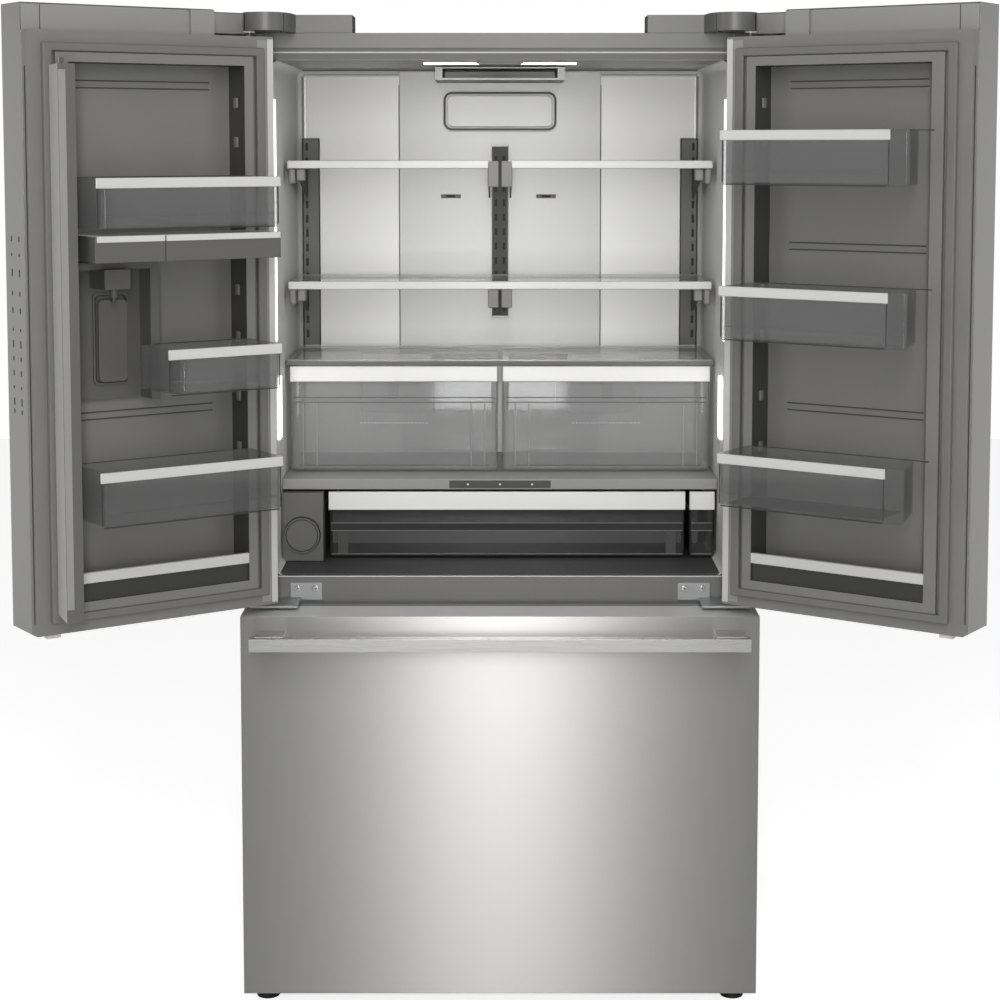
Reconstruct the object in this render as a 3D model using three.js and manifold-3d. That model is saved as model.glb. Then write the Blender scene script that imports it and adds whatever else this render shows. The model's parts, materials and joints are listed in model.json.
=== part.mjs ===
// French door refrigerator with a bottom freezer drawer.
// Millimetres. +X is right seen from the front, +Y goes into the cabinet, +Z is up.
// The closed doors' inner faces lie in the plane Y = 0 before the whole model is centred on its own depth.
import * as THREE from 'three';
import { mergeVertices } from 'three/addons/utils/BufferGeometryUtils.js';
import Module from 'manifold-3d';

const wasm = await Module();
wasm.setup();

// ---------------------------------------------------------------- driving sizes
const GAP = 0.3;                    // left between touching pieces
const SHEET = 1.5;                  // steel sheet
const WALL = 3;                     // moulded liner wall
const ROOM_WALL = 1;                // sheet lining of the fresh-food compartment
const BIN_WALL = 2.5;               // clear bin wall

const HALF_WIDTH = 457;             // doors and drawer front
const CASE_HALF = 455;
const CASE_FRONT = 12;
const CASE_BACK = 620;
const CASE_BOTTOM = 30;
const CASE_TOP = 1738;
const FLANGE_EDGE = 412;            // inner edge of the case's front flange

const ROOM_HALF = 408;              // inside half-width of both compartments
const ROOM_BACK = 500;
const FRESH_FLOOR = 762;
const FRESH_CEILING = 1690;
const FREEZER_FLOOR = 63;
const FREEZER_CEILING = 683;
const MACHINE_TOP = 310;            // underside of the freezer's raised rear floor
const MACHINE_FRONT = 426;          // front wall of the compressor space
const RAIL_BOTTOM = 690;
const RAIL_TOP = 758.7;

const DOOR_DEPTH = 105;
const DOOR_WIDTH = 450;
const DOOR_BOTTOM = 732;
const DOOR_TOP = 1726;              // top of the inner face
const DOOR_LIP = 1771;              // top of the outer skin
const DOOR_OPEN = 145.3;            // degrees from shut, as it stands at rest
const HINGE_X = 437;
const HINGE_Y = -50;
const LINER_REAR = -22;             // where skin and inner liner meet
const LIP_FACE = -25;               // the upper lip stands this far behind the inner face

const DRAWER_TOP = 714;
const DRAWER_BOTTOM = 30;

// ---------------------------------------------------------------- materials
const paint = (color, roughness, metalness, opacity = 1) =>
  new THREE.MeshStandardMaterial({ color, roughness, metalness, opacity, transparent: opacity < 1 });
const M = {
  stainless: paint(0xb6b5b2, 0.32, 1),
  handle: paint(0xb9b8b5, 0.25, 1),
  caseGrey: paint(0x8a8987, 0.5, 0.3),
  linerGrey: paint(0x7d7c7a, 0.5, 0),
  roomSteel: paint(0xc4c3c0, 0.35, 0.8),
  freezerWhite: paint(0xe4e4e2, 0.5, 0),
  gasket: paint(0x8e8d8b, 0.7, 0),
  clear: paint(0xd8dcdc, 0.05, 0, 0.3),
  smoke: paint(0x4e4e4c, 0.1, 0, 0.5),
  glass: paint(0xdfe6e4, 0.03, 0, 0.3),
  darkPlastic: paint(0x4a4a49, 0.5, 0),
  midPlastic: paint(0x6d6c6a, 0.45, 0),
  black: paint(0x1d1d1d, 0.6, 0),
  galvanised: paint(0x9a9c9d, 0.45, 0.9),
  aluminium: paint(0xb9bbbd, 0.35, 1),
};

// ---------------------------------------------------------------- shape helpers
function toSolid(geometry) {
  const bare = geometry.clone();
  bare.deleteAttribute('normal');
  bare.deleteAttribute('uv');
  const merged = mergeVertices(bare, 1e-4);
  return new wasm.Manifold(new wasm.Mesh({
    numProp: 3,
    vertProperties: new Float32Array(merged.attributes.position.array),
    triVerts: new Uint32Array(merged.index.array),
  }));
}

function toGeometry(solid) {
  const mesh = solid.getMesh();
  const geometry = new THREE.BufferGeometry();
  geometry.setAttribute('position', new THREE.BufferAttribute(mesh.vertProperties, 3));
  geometry.setIndex(new THREE.BufferAttribute(mesh.triVerts, 1));
  return geometry;
}

// A box from its low and high limits on each axis.
function box(x0, x1, y0, y1, z0, z1) {
  const geometry = new THREE.BoxGeometry(Math.abs(x1 - x0), y1 - y0, z1 - z0);
  geometry.translate((x0 + x1) / 2, (y0 + y1) / 2, (z0 + z1) / 2);
  return toSolid(geometry);
}

// A plan outline [x, y] raised from z0 to z1.
function prismZ(points, z0, z1) {
  const shape = new THREE.Shape(points.map(([x, y]) => new THREE.Vector2(x, y)));
  const geometry = new THREE.ExtrudeGeometry(shape, { depth: z1 - z0, bevelEnabled: false });
  geometry.translate(0, 0, z0);
  return toSolid(geometry);
}

// A side outline [y, z] carried along X from x0 to x1.
function prismX(points, x0, x1) {
  const shape = new THREE.Shape(points.map(([y, z]) => new THREE.Vector2(y, z)));
  const geometry = new THREE.ExtrudeGeometry(shape, { depth: x1 - x0, bevelEnabled: false });
  geometry.rotateX(Math.PI / 2);
  geometry.rotateZ(Math.PI / 2);
  geometry.translate(x0, 0, 0);
  return toSolid(geometry);
}

// A front outline with rounded corners, carried along Y.
function roundedFront(x0, x1, z0, z1, radius, y0, y1) {
  const shape = new THREE.Shape();
  shape.moveTo(x0 + radius, z0);
  shape.lineTo(x1 - radius, z0);
  shape.absarc(x1 - radius, z0 + radius, radius, -Math.PI / 2, 0);
  shape.lineTo(x1, z1 - radius);
  shape.absarc(x1 - radius, z1 - radius, radius, 0, Math.PI / 2);
  shape.lineTo(x0 + radius, z1);
  shape.absarc(x0 + radius, z1 - radius, radius, Math.PI / 2, Math.PI);
  shape.lineTo(x0, z0 + radius);
  shape.absarc(x0 + radius, z0 + radius, radius, Math.PI, Math.PI * 1.5);
  const settings = { depth: y1 - y0, bevelEnabled: false, curveSegments: 3 };
  const geometry = new THREE.ExtrudeGeometry(shape, settings);
  geometry.rotateX(Math.PI / 2);
  geometry.translate(0, y1, 0);
  return toSolid(geometry);
}

function cylinder(axis, x, y, z, radius, length, sides = 20) {
  const geometry = new THREE.CylinderGeometry(radius, radius, length, sides);
  if (axis === 'x') geometry.rotateZ(Math.PI / 2);
  if (axis === 'z') geometry.rotateX(Math.PI / 2);
  geometry.translate(x, y, z);
  return toSolid(geometry);
}

const union = (...solids) => solids.reduce((a, b) => a.add(b));
const cut = (solid, ...tools) => tools.reduce((a, b) => a.subtract(b), solid);

const fridge = new THREE.Group();
const model = new THREE.Group();
fridge.add(model);

function addPart(name, solid, material, parent = model) {
  const mesh = new THREE.Mesh(toGeometry(solid), material);
  mesh.name = name;
  parent.add(mesh);
  return mesh;
}

const SIDES = [['left', -1], ['right', 1]];
// Box given by distances from the centre plane, on the left (-1) or right (1) side.
const sideBox = (side, a, b, y0, y1, z0, z1) =>
  box(Math.min(side * a, side * b), Math.max(side * a, side * b), y0, y1, z0, z1);

// ---------------------------------------------------------------- cabinet
const ROLLER = { x: 400, y: 560, radius: 21, axle: 4 };
function rollerBracket(side) {
  const { x, y, radius, axle } = ROLLER;
  return union(
    sideBox(side, x - 22, x - 19, y - 12, y + 12, 12, CASE_BOTTOM + 1),
    sideBox(side, x + 19, x + 22, y - 12, y + 12, 12, CASE_BOTTOM + 1),
    cylinder('x', side * x, y, radius, axle, 42, 16),
  );
}

function buildCase() {
  const inner = CASE_HALF - SHEET;
  const shell = cut(
    box(-CASE_HALF, CASE_HALF, CASE_FRONT, CASE_BACK - 2, CASE_BOTTOM, CASE_TOP),
    box(-inner, inner, CASE_FRONT + SHEET, CASE_BACK, CASE_BOTTOM - 1, CASE_TOP - SHEET),
    box(-FLANGE_EDGE, FLANGE_EDGE, CASE_FRONT - 1, CASE_FRONT + 3, CASE_BOTTOM - 1, CASE_TOP - 27),
  );
  addPart('case_wrapper', shell, M.caseGrey);
  const backPanel = box(-CASE_HALF, CASE_HALF, CASE_BACK - SHEET, CASE_BACK, MACHINE_TOP, CASE_TOP);
  addPart('back_panel', backPanel, M.galvanised);

  const cover = box(-CASE_HALF, CASE_HALF, CASE_BACK - SHEET, CASE_BACK, CASE_BOTTOM, MACHINE_TOP - 1);
  const louvres = [];
  const rows = 6;
  for (const x of [-330, -110, 110, 330]) {
    for (let row = 0; row < rows; row += 1) {
      const z = 80 + row * 34;
      louvres.push(box(x - 80, x + 80, CASE_BACK - 5, CASE_BACK + 5, z, z + 9));
    }
  }
  addPart('machine_compartment_cover', cut(cover, ...louvres), M.galvanised);

  const wells = SIDES.map(([, side]) =>
    sideBox(side, ROLLER.x - 18, ROLLER.x + 18, ROLLER.y - 24, ROLLER.y + 24, 0, CASE_BOTTOM + 3));
  const lip = cut(
    union(
      box(-inner + GAP, inner - GAP, CASE_FRONT + 2, CASE_BACK - 2, CASE_BOTTOM, CASE_BOTTOM + 2),
      box(-FLANGE_EDGE + 2, FLANGE_EDGE - 2, CASE_FRONT, CASE_FRONT + 2.5, CASE_BOTTOM, CASE_BOTTOM + 26),
    ),
    ...wells,
  );
  addPart('base_plate', union(lip, ...SIDES.map(([, side]) => rollerBracket(side))), M.galvanised);

  const railEnd = FLANGE_EDGE - GAP;
  const railDepth = 26;
  const railWall = 2;
  const railFace = box(-railEnd, railEnd, CASE_FRONT, CASE_FRONT + railDepth, RAIL_BOTTOM, RAIL_TOP);
  const railHollow = box(
    -railEnd + 2 * railWall, railEnd - 2 * railWall,
    CASE_FRONT + railWall, CASE_FRONT + railDepth + 1,
    RAIL_BOTTOM + railWall, RAIL_TOP - railWall,
  );
  addPart('middle_rail', cut(railFace, railHollow), M.caseGrey);
}

// Thin-walled box room, open at the front, with a flange behind the case's front edge.
function buildLiners() {
  const front = CASE_FRONT + SHEET + GAP;
  const skin = ROOM_HALF + ROOM_WALL;
  const fresh = cut(
    union(
      box(-skin, skin, front, ROOM_BACK + ROOM_WALL, FRESH_FLOOR - WALL, FRESH_CEILING + ROOM_WALL),
      box(-skin - 13, skin + 13, front, front + ROOM_WALL, FRESH_FLOOR, FRESH_CEILING + 26),
    ),
    box(-ROOM_HALF, ROOM_HALF, 0, ROOM_BACK, FRESH_FLOOR, FRESH_CEILING),
  );
  addPart('fresh_food_liner', fresh, M.roomSteel);

  const back = ROOM_BACK + WALL;
  const outer = ROOM_HALF + WALL;
  const step = MACHINE_FRONT - 2;
  const freezer = cut(
    union(
      box(-outer, outer, front + 30, back, MACHINE_TOP + 3, FREEZER_CEILING + WALL),
      box(-outer, outer, front + 30, step, FREEZER_FLOOR - WALL, FREEZER_CEILING),
    ),
    box(-ROOM_HALF, ROOM_HALF, 0, ROOM_BACK, MACHINE_TOP + 6, FREEZER_CEILING),
    box(-ROOM_HALF, ROOM_HALF, 0, step - WALL, FREEZER_FLOOR, FREEZER_CEILING - 1),
  );
  addPart('freezer_liner', freezer, M.freezerWhite);
}

function buildRunningGear() {
  const legX = 421;
  for (const [name, side] of SIDES) {
    const leg = union(
      cylinder('z', side * legX, -36, 6, 21, 12),
      cylinder('z', side * legX, -36, 14, 7, 10, 12),
      sideBox(side, legX - 18, legX + 18, -56, 90, 18, CASE_BOTTOM - GAP),
    );
    addPart(`front_leg_${name}`, leg, M.black);

    const roller = cut(
      cylinder('x', side * ROLLER.x, ROLLER.y, ROLLER.radius, ROLLER.radius, 30, 24),
      cylinder('x', side * ROLLER.x, ROLLER.y, ROLLER.radius, ROLLER.axle + GAP, 40, 24),
    );
    addPart(`rear_roller_${name}`, roller, M.black);
  }
}

// ---------------------------------------------------------------- cooling system
function fanBlades(x, y, z, radius) {
  const blades = [cylinder('y', x, y, z, radius * 0.28, 16, 16)];
  const count = 5;
  for (let i = 0; i < count; i += 1) {
    const blade = new THREE.BoxGeometry(radius * 0.86, 2, radius * 0.42);
    blade.rotateX(0.5);
    blade.translate(radius * 0.56, 0, 0);
    blade.rotateY((i / count) * Math.PI * 2);
    blade.translate(x, y, z);
    blades.push(toSolid(blade));
  }
  return union(...blades);
}

function fanFrame(x, y, z, radius, depth) {
  const half = radius + 12;
  const frame = cut(
    box(x - half, x + half, y - depth / 2, y + depth / 2, z - half, z + half),
    cylinder('y', x, y, z, radius + 5, depth + 2, 24),
  );
  const strutY = y + depth / 2 - 4;
  return union(
    frame,
    box(x - half + 2, x + half - 2, strutY, strutY + 4, z - 5, z + 5),
    cylinder('y', x, y + depth / 2 - 7, z, radius * 0.25, 14, 16),
  );
}

function buildCooling() {
  const top = CASE_BOTTOM + 2 + GAP;
  const compressorProfile = [[0, 0], [70, 0], [82, 18], [82, 95], [60, 140], [24, 158], [0, 160]];
  const compressor = new THREE.LatheGeometry(compressorProfile.map(([r, z]) => new THREE.Vector2(r, z)), 20);
  compressor.rotateX(Math.PI / 2);
  compressor.translate(-290, 525, top + 12);
  const feet = box(-385, -195, 460, 590, top, top + 12.5);
  addPart('compressor', union(toSolid(compressor), feet), M.black);

  const condenser = [box(60, 66, 450, 590, top, 240), box(354, 360, 450, 590, top, 240)];
  for (let z = 60; z <= 230; z += 34) condenser.push(box(60, 360, 450, 590, z, z + 3));
  const fanX = -60;
  const fanY = 520;
  const fanZ = 135;
  const fanRadius = 75;
  const shroud = box(fanX + fanRadius + 10, 62, 510, 530, 60, 70);
  addPart('condenser', union(...condenser, shroud, fanFrame(fanX, fanY, fanZ, fanRadius, 40)), M.black);
  addPart('condenser_fan', fanBlades(fanX, fanY - 6, fanZ, fanRadius), M.midPlastic);

  const evaporator = [box(-330, -326, 520, 580, 340, 560), box(136, 140, 520, 580, 340, 560)];
  for (let z = 345; z < 560; z += 30) evaporator.push(box(-330, 140, 520, 580, z, z + 3));
  const coldFanX = 260;
  const coldFanZ = 500;
  const link = box(138, coldFanX - 70, 550, 570, 495, 505);
  addPart('evaporator', union(...evaporator, link, fanFrame(coldFanX, 560, coldFanZ, 60, 40)), M.aluminium);
  addPart('evaporator_fan', fanBlades(coldFanX, 554, coldFanZ, 60), M.midPlastic);
}

// ---------------------------------------------------------------- hinges
const hingePinRadius = 5;
function buildHinges() {
  for (const [name, side] of SIDES) {
    const arm = side * HINGE_X;
    // The arm and its cover are waisted on the outside, where the door's corner swings past.
    const armOutline = [[446, -48], [440, -59], [430, -58], [388, -10], [388, 25], [430, 25], [430, -16]];
    const upper = union(
      sideBox(side, 300, 446, 20, 90, CASE_TOP + GAP, CASE_TOP + 5),
      prismZ(armOutline.map(([x, y]) => [side * x, y]), CASE_TOP + GAP, CASE_TOP + 5),
      cylinder('z', arm, HINGE_Y, CASE_TOP - 10, hingePinRadius, 24, 16),
    );
    const coverOutline = new THREE.Shape();
    coverOutline.moveTo(side * 262, 14);
    coverOutline.lineTo(side * 262, 96);
    coverOutline.lineTo(side * 452, 96);
    coverOutline.lineTo(side * 452, 14);
    coverOutline.lineTo(side * 433, 14);
    coverOutline.lineTo(side * 433, -18);
    coverOutline.lineTo(side * 449, -44);
    coverOutline.quadraticCurveTo(side * 448, -74, side * 410, -76);
    coverOutline.quadraticCurveTo(side * 374, -74, side * 366, -30);
    coverOutline.lineTo(side * 362, 14);
    const top = DOOR_LIP - 1;
    const coverSolid = new THREE.ExtrudeGeometry(coverOutline, {
      depth: top - CASE_TOP - GAP, bevelEnabled: false, curveSegments: 5,
    });
    coverSolid.translate(0, 0, CASE_TOP + GAP);
    const hollow = union(
      sideBox(side, 266, 449, 17, 93, CASE_TOP - 1, top - WALL),
      sideBox(side, 376, 430.5, -58, 20, CASE_TOP - 1, top - WALL),
      sideBox(side, 425, 445, -62, -36, CASE_TOP - 1, top - WALL),
    );
    const studHeight = top - CASE_TOP - 4;
    const studs = [330, 420].map((x) => cylinder('z', side * x, 60, (CASE_TOP + top) / 2, 6, studHeight, 10));
    addPart(`upper_hinge_${name}`, union(upper, ...studs, cut(toSolid(coverSolid), hollow)), M.caseGrey);

    const lowerZ = DRAWER_TOP + 4;
    const lower = union(
      sideBox(side, 322, 380, CASE_FRONT - 3 - GAP, CASE_FRONT - GAP, lowerZ, lowerZ + 32),
      sideBox(side, 360, 446, HINGE_Y - 9, CASE_FRONT - GAP, lowerZ, lowerZ + 5),
      cylinder('z', arm, HINGE_Y, lowerZ + 14, hingePinRadius, 26, 16),
    );
    const screws = [334, 366].map((x) => cylinder('y', side * x, CASE_FRONT - 5, lowerZ + 22, 5, 5, 10));
    addPart(`lower_hinge_${name}`, union(lower, ...screws), M.galvanised);
  }
}

// ---------------------------------------------------------------- fresh-food compartment fittings
const SHELF_FRONT = 215;
const SHELF_BACK = 480;
const TRIM_DEPTH = 9;
const TRIM_HEIGHT = 15;
const TRACK_FRONT = 487;

function buildBackWall() {
  const ductFront = 494;
  const ductHalf = 202;
  const panel = box(-ductHalf, ductHalf, ductFront, ROOM_BACK - GAP, 920, FRESH_CEILING - 1);
  const ceilingDuct = box(-125, 125, 300, ductFront + 2, 1664, FRESH_CEILING - 1);
  const outlet = box(-110, 110, 290, 480, 1668, FRESH_CEILING - 4);

  const frame = cut(
    roundedFront(-114, 114, 1567, 1648, 18, ductFront - 9, ductFront + 2),
    roundedFront(-106, 106, 1575, 1640, 12, ductFront - 20, ductFront + 2),
  );
  const track = slottedTrack(-17, 17, 1192, 1541, ductFront + 2, [-8, 8]);
  const filterCover = roundedFront(-104, 104, 1577, 1638, 11, ductFront - 14, ductFront + 2);
  addPart('air_duct_panel', union(panel, cut(ceilingDuct, outlet), frame, filterCover, track), M.roomSteel);

  const guide = cut(
    prismZ([[-42, 15], [42, 15], [32, 62], [-32, 62]], 1684, FRESH_CEILING - GAP),
    box(-30, 6, 10, 30, 1680, 1687),
  );
  addPart('flap_guide', guide, M.midPlastic);
}

function slottedTrack(x0, x1, z0, z1, back, slotColumns) {
  const slots = [];
  const pitch = 29;
  for (const x of slotColumns) {
    for (let z = z0 + 22; z < z1 - 20; z += pitch) {
      slots.push(box(x - 2.5, x + 2.5, TRACK_FRONT - 2, TRACK_FRONT + 4, z, z + 14));
    }
  }
  return cut(box(x0, x1, TRACK_FRONT, back, z0, z1), ...slots);
}

// Cantilever arm: deep at the track and shallow at the front trim.
function shelfArm(x0, x1, top) {
  const front = SHELF_FRONT + 60;
  const rear = TRACK_FRONT - 1;
  const frontDepth = 12;
  const rearDepth = 46;
  return prismX([[front, top], [rear, top], [rear, top - rearDepth], [front, top - frontDepth]], x0, x1);
}

function buildShelf(name, x0, x1, top, arms) {
  const glassTop = top - 2;
  const glassBottom = glassTop - 4;
  const frame = union(
    box(x0, x1, SHELF_FRONT, SHELF_FRONT + TRIM_DEPTH, top - TRIM_HEIGHT, top),
    box(x0, x1, SHELF_FRONT + 5, SHELF_FRONT + 20, glassBottom - 4, glassBottom - GAP),
    box(x0, x1, SHELF_BACK - 14, SHELF_BACK, glassBottom - 5, glassBottom - GAP),
    box(x0, x0 + 12, SHELF_FRONT + 5, SHELF_BACK, glassBottom - 4, glassBottom - GAP),
    box(x1 - 12, x1, SHELF_FRONT + 5, SHELF_BACK, glassBottom - 4, glassBottom - GAP),
    ...arms.map((x) => shelfArm(x - 1.5, x + 1.5, glassBottom - 1)),
  );
  const glass = box(x0 + 1, x1 - 1, SHELF_FRONT + TRIM_DEPTH - 1, SHELF_BACK, glassBottom - 1, glassTop);
  addPart(name, union(frame, glass), M.glass);
}

// An open-topped bin from a plan outline, with a floor and thin walls.
function openBin(outer, inner, z0, z1) {
  return cut(prismZ(outer, z0, z1), prismZ(inner, z0 + BIN_WALL, z1 + 1));
}
const rectangle = (x0, x1, y0, y1) => [[x0, y0], [x1, y0], [x1, y1], [x0, y1]];

// Straight drawer with a deep trim along the top of its front.
function buildDrawer(name, x0, x1, front, back, z0, z1, trimBottom, trimTop, material) {
  const outer = rectangle(x0, x1, front, back);
  const inner = rectangle(x0 + BIN_WALL, x1 - BIN_WALL, front + BIN_WALL, back - BIN_WALL);
  const trim = box(x0, x1, front - 9, front + 1, trimBottom, trimTop);
  addPart(name, union(openBin(outer, inner, z0, z1), trim), material);
}

const PANTRY_TOP = 917;
function buildFreshFood() {
  buildBackWall();
  const wallBack = ROOM_BACK - GAP;
  addPart('shelf_track_left', slottedTrack(-397, -363, 1137, 1553, wallBack, [-388]), M.darkPlastic);
  addPart('shelf_track_right', slottedTrack(363, 397, 1137, 1553, wallBack, [388]), M.darkPlastic);

  const edge = 400;
  const split = 15;
  buildShelf('upper_left_shelf', -edge, -split, 1511, [-388, -20]);
  buildShelf('upper_right_shelf', split, edge, 1511, [20, 388]);
  buildShelf('middle_shelf', -edge, edge, 1283, [-388, -8, 8, 388]);

  const coverTop = 1131;
  const coverFrame = cut(
    box(-406, 406, SHELF_FRONT - 2, 486, coverTop - 7, coverTop),
    box(-396, -4, SHELF_FRONT + 8, 474, coverTop - 8, coverTop + 1),
    box(4, 396, SHELF_FRONT + 8, 474, coverTop - 8, coverTop + 1),
  );
  const coverGlass = box(-404, 404, SHELF_FRONT, 484, coverTop - 1, coverTop + 4);
  addPart('crisper_cover', union(coverFrame, coverGlass), M.glass);

  buildDrawer('left_crisper', -401, -3, 229, 480, PANTRY_TOP + 2, 1120, 1092, 1122, M.clear);
  buildDrawer('right_crisper', 3, 401, 229, 480, PANTRY_TOP + 2, 1120, 1092, 1122, M.clear);

  const pantryFront = 150;
  const pantryCover = cut(
    box(-407, 407, pantryFront, 490, PANTRY_TOP - 20, PANTRY_TOP),
    box(-403, 403, pantryFront + 5, 491, PANTRY_TOP - 21, PANTRY_TOP - 4),
  );
  addPart('pantry_cover', pantryCover, M.midPlastic);
  buildDrawer('pantry_drawer', -322, 348, 165, 480, FRESH_FLOOR + 3, 876, 857, 892, M.smoke);
  buildDrawer('small_drawer', 356, 403, 165, 480, FRESH_FLOOR + 3, 876, 857, 892, M.smoke);

  const filterX = -369;
  const filterZ = 815;
  const housing = cut(
    box(-407, -330, 130, 484, FRESH_FLOOR + 3, 893),
    box(-403, -334, 160, 485, 852, 889),
    cylinder('y', filterX, 250, filterZ, 34, 260, 24),
  );
  addPart('filter_housing', housing, M.midPlastic);
  addPart('water_filter', union(
    cylinder('y', filterX, 250, filterZ, 31, 230, 24),
    cylinder('y', filterX, 128.5, filterZ, 33, 15, 24),
  ), M.midPlastic);
}

// ---------------------------------------------------------------- doors
// Door coordinates: u from the hinge-side edge towards the free edge, v from the inner face into the cabinet.
function makeDoor(name, side) {
  const swing = new THREE.Group();
  swing.position.set(side * HINGE_X, HINGE_Y, 0);
  swing.rotation.z = side * THREE.MathUtils.degToRad(DOOR_OPEN);
  model.add(swing);
  const shut = new THREE.Group();
  shut.position.set(-side * HINGE_X, -HINGE_Y, 0);
  swing.add(shut);
  const atU = (u) => side * (HALF_WIDTH - u);
  return {
    name,
    side,
    group: shut,
    atU,
    box: (u0, u1, v0, v1, z0, z1) => {
      const ends = [atU(u0), atU(u1)];
      return box(Math.min(...ends), Math.max(...ends), v0, v1, z0, z1);
    },
    prism: (points, z0, z1) => prismZ(points.map(([u, v]) => [atU(u), v]), z0, z1),
    round: (u0, u1, z0, z1, r, v0, v1) => {
      const ends = [atU(u0), atU(u1)];
      return roundedFront(Math.min(...ends), Math.max(...ends), z0, z1, r, v0, v1);
    },
    add: (node, solid, material) => addPart(node, solid, material, shut),
  };
}

const CAVITY = { hinge: 61, free: 382, bottom: 782, top: 1675, back: -50 };
const BIN_BACK = 9;
const BIN_FRONT = 122;
const BIN_HINGE = 56;

function buildDoorBody(door) {
  const { name } = door;
  const pocketU = 101;                               // the hinge cover's room in the top of the skin
  const pocketV = -82;
  const skin = cut(
    door.box(0, DOOR_WIDTH, -DOOR_DEPTH, LINER_REAR, DOOR_BOTTOM, DOOR_LIP),
    door.box(SHEET, DOOR_WIDTH - SHEET, -DOOR_DEPTH + SHEET, 0, DOOR_BOTTOM + SHEET, DOOR_LIP - SHEET),
    door.box(-1, DOOR_WIDTH + 1, LIP_FACE, 0, DOOR_TOP, DOOR_LIP + 1),
    door.box(-1, pocketU, pocketV, 0, DOOR_TOP + 8, DOOR_LIP + 1),
    cylinder('z', door.atU(HALF_WIDTH - HINGE_X), HINGE_Y, DOOR_BOTTOM, hingePinRadius + 0.6, 10, 16),
  );
  door.add(`${name}_door_skin`, skin, M.stainless);

  const cap = union(
    door.box(pocketU + 3, DOOR_WIDTH - 2, LIP_FACE - 3, LIP_FACE - GAP, DOOR_TOP - 1, DOOR_LIP - 2),
    door.box(pocketU + 3, 148, LIP_FACE - 4, LIP_FACE + 8, DOOR_TOP - 1, DOOR_LIP - 2),
    door.box(pocketU + GAP, pocketU + 4, pocketV + 1, LIP_FACE - GAP, DOOR_TOP - 1, DOOR_LIP - 2),
  );

  const inset = 0.5;                                 // the liner stands this far inside the skin's edge
  const low = DOOR_BOTTOM + WALL;
  const high = DOOR_TOP - WALL - 1;
  const rear = LINER_REAR - 1;
  const { hinge, free, bottom, top, back } = CAVITY;
  const hingeWall = hinge - WALL;
  const freeWall = free + WALL;
  const liner = cut(
    union(
      door.box(inset, DOOR_WIDTH - inset, LINER_REAR + GAP, 0, DOOR_BOTTOM, DOOR_TOP),
      door.box(SHEET + 1, DOOR_WIDTH - SHEET - 1, -DOOR_DEPTH + 4, -1, high, DOOR_TOP),
      door.box(hingeWall, freeWall, back - WALL, -1, bottom - WALL, top + WALL),
      door.box(44, 404, -1, 8, 766, 1691),
    ),
    door.box(inset + WALL, hingeWall, rear, -WALL, low, high),
    door.box(freeWall, DOOR_WIDTH - inset - WALL, rear, -WALL, low, high),
    door.box(hingeWall - 1, freeWall + 1, rear, -WALL, low, bottom - WALL),
    door.box(hingeWall - 1, freeWall + 1, rear, -WALL, top + WALL, high),
    door.box(hinge, free, back, 20, bottom, top),
    cylinder('z', door.atU(HALF_WIDTH - HINGE_X), HINGE_Y, DOOR_TOP, hingePinRadius + 0.6, 30, 16),
  );
  const retainer = union(
    door.box(CAVITY.hinge - 1, CAVITY.free + 1, 0, 3, CAVITY.bottom - 1, 830),
    door.box(CAVITY.hinge - 1, CAVITY.free + 1, 3, 7, 813, 830),
  );
  door.add(`${name}_door_liner`, union(liner, cap, retainer), M.linerGrey);

  const gasket = cut(
    door.box(22, 426, GAP, 11.6, 752, 1706),
    door.box(38, 410, -5, 20, 765.5, 1692),
  );
  door.add(`${name}_door_gasket`, gasket, M.gasket);

  const barU = 402;
  const barFront = -DOOR_DEPTH - 62;
  const barBack = barFront + 20;
  const handle = union(
    door.box(barU - 11, barU + 11, barFront, barBack, 860, 1600),
    door.box(barU - 9, barU + 9, barBack - 2, -DOOR_DEPTH - GAP, 868, 918),
    door.box(barU - 9, barU + 9, barBack - 2, -DOOR_DEPTH - GAP, 1542, 1592),
  );
  door.add(`${name}_door_handle`, handle, M.handle);
}

// Door bin: plan outline with a free end that may lean, clear body and a light trim along its front.
function buildDoorBin(door, label, freeBack, freeFront, z0, z1) {
  const outline = (inset) => [
    [BIN_HINGE + inset, BIN_BACK + inset],
    [BIN_HINGE + inset, BIN_FRONT - inset],
    [freeFront - inset, BIN_FRONT - inset],
    [freeBack - inset, BIN_BACK + inset],
  ];
  const body = cut(door.prism(outline(0), z0, z1), door.prism(outline(BIN_WALL), z0 + BIN_WALL, z1 + 1));
  const trim = door.box(BIN_HINGE, freeFront, BIN_FRONT + GAP, BIN_FRONT + 4, z1 - 17, z1);
  const bridge = door.box(BIN_HINGE + 10, freeFront - 10, BIN_FRONT - 1, BIN_FRONT + 1, z1 - 12, z1 - 8);
  door.add(`${door.name}_door_${label}`, union(body, trim, bridge), M.clear);
}

// The folding centre flap: with the left door shut it lies behind both gaskets, and else beside the bins.
const FLAP = { pivotU: 417, pivotV: 13, width: 72, thick: 28, fold: 78, bottom: 768, top: 1669 };
function buildFlap(door) {
  const pivot = new THREE.Group();
  pivot.position.set(door.atU(FLAP.pivotU), FLAP.pivotV, 0);
  pivot.rotation.z = THREE.MathUtils.degToRad(FLAP.fold);
  door.group.add(pivot);
  const bar = union(
    box(0, FLAP.width, 0, FLAP.thick, FLAP.bottom, FLAP.top),
    cylinder('z', 30, 14, FLAP.top + 5, 4, 12, 12),
  );
  addPart('centre_flap', bar, M.linerGrey, pivot);
}

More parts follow.
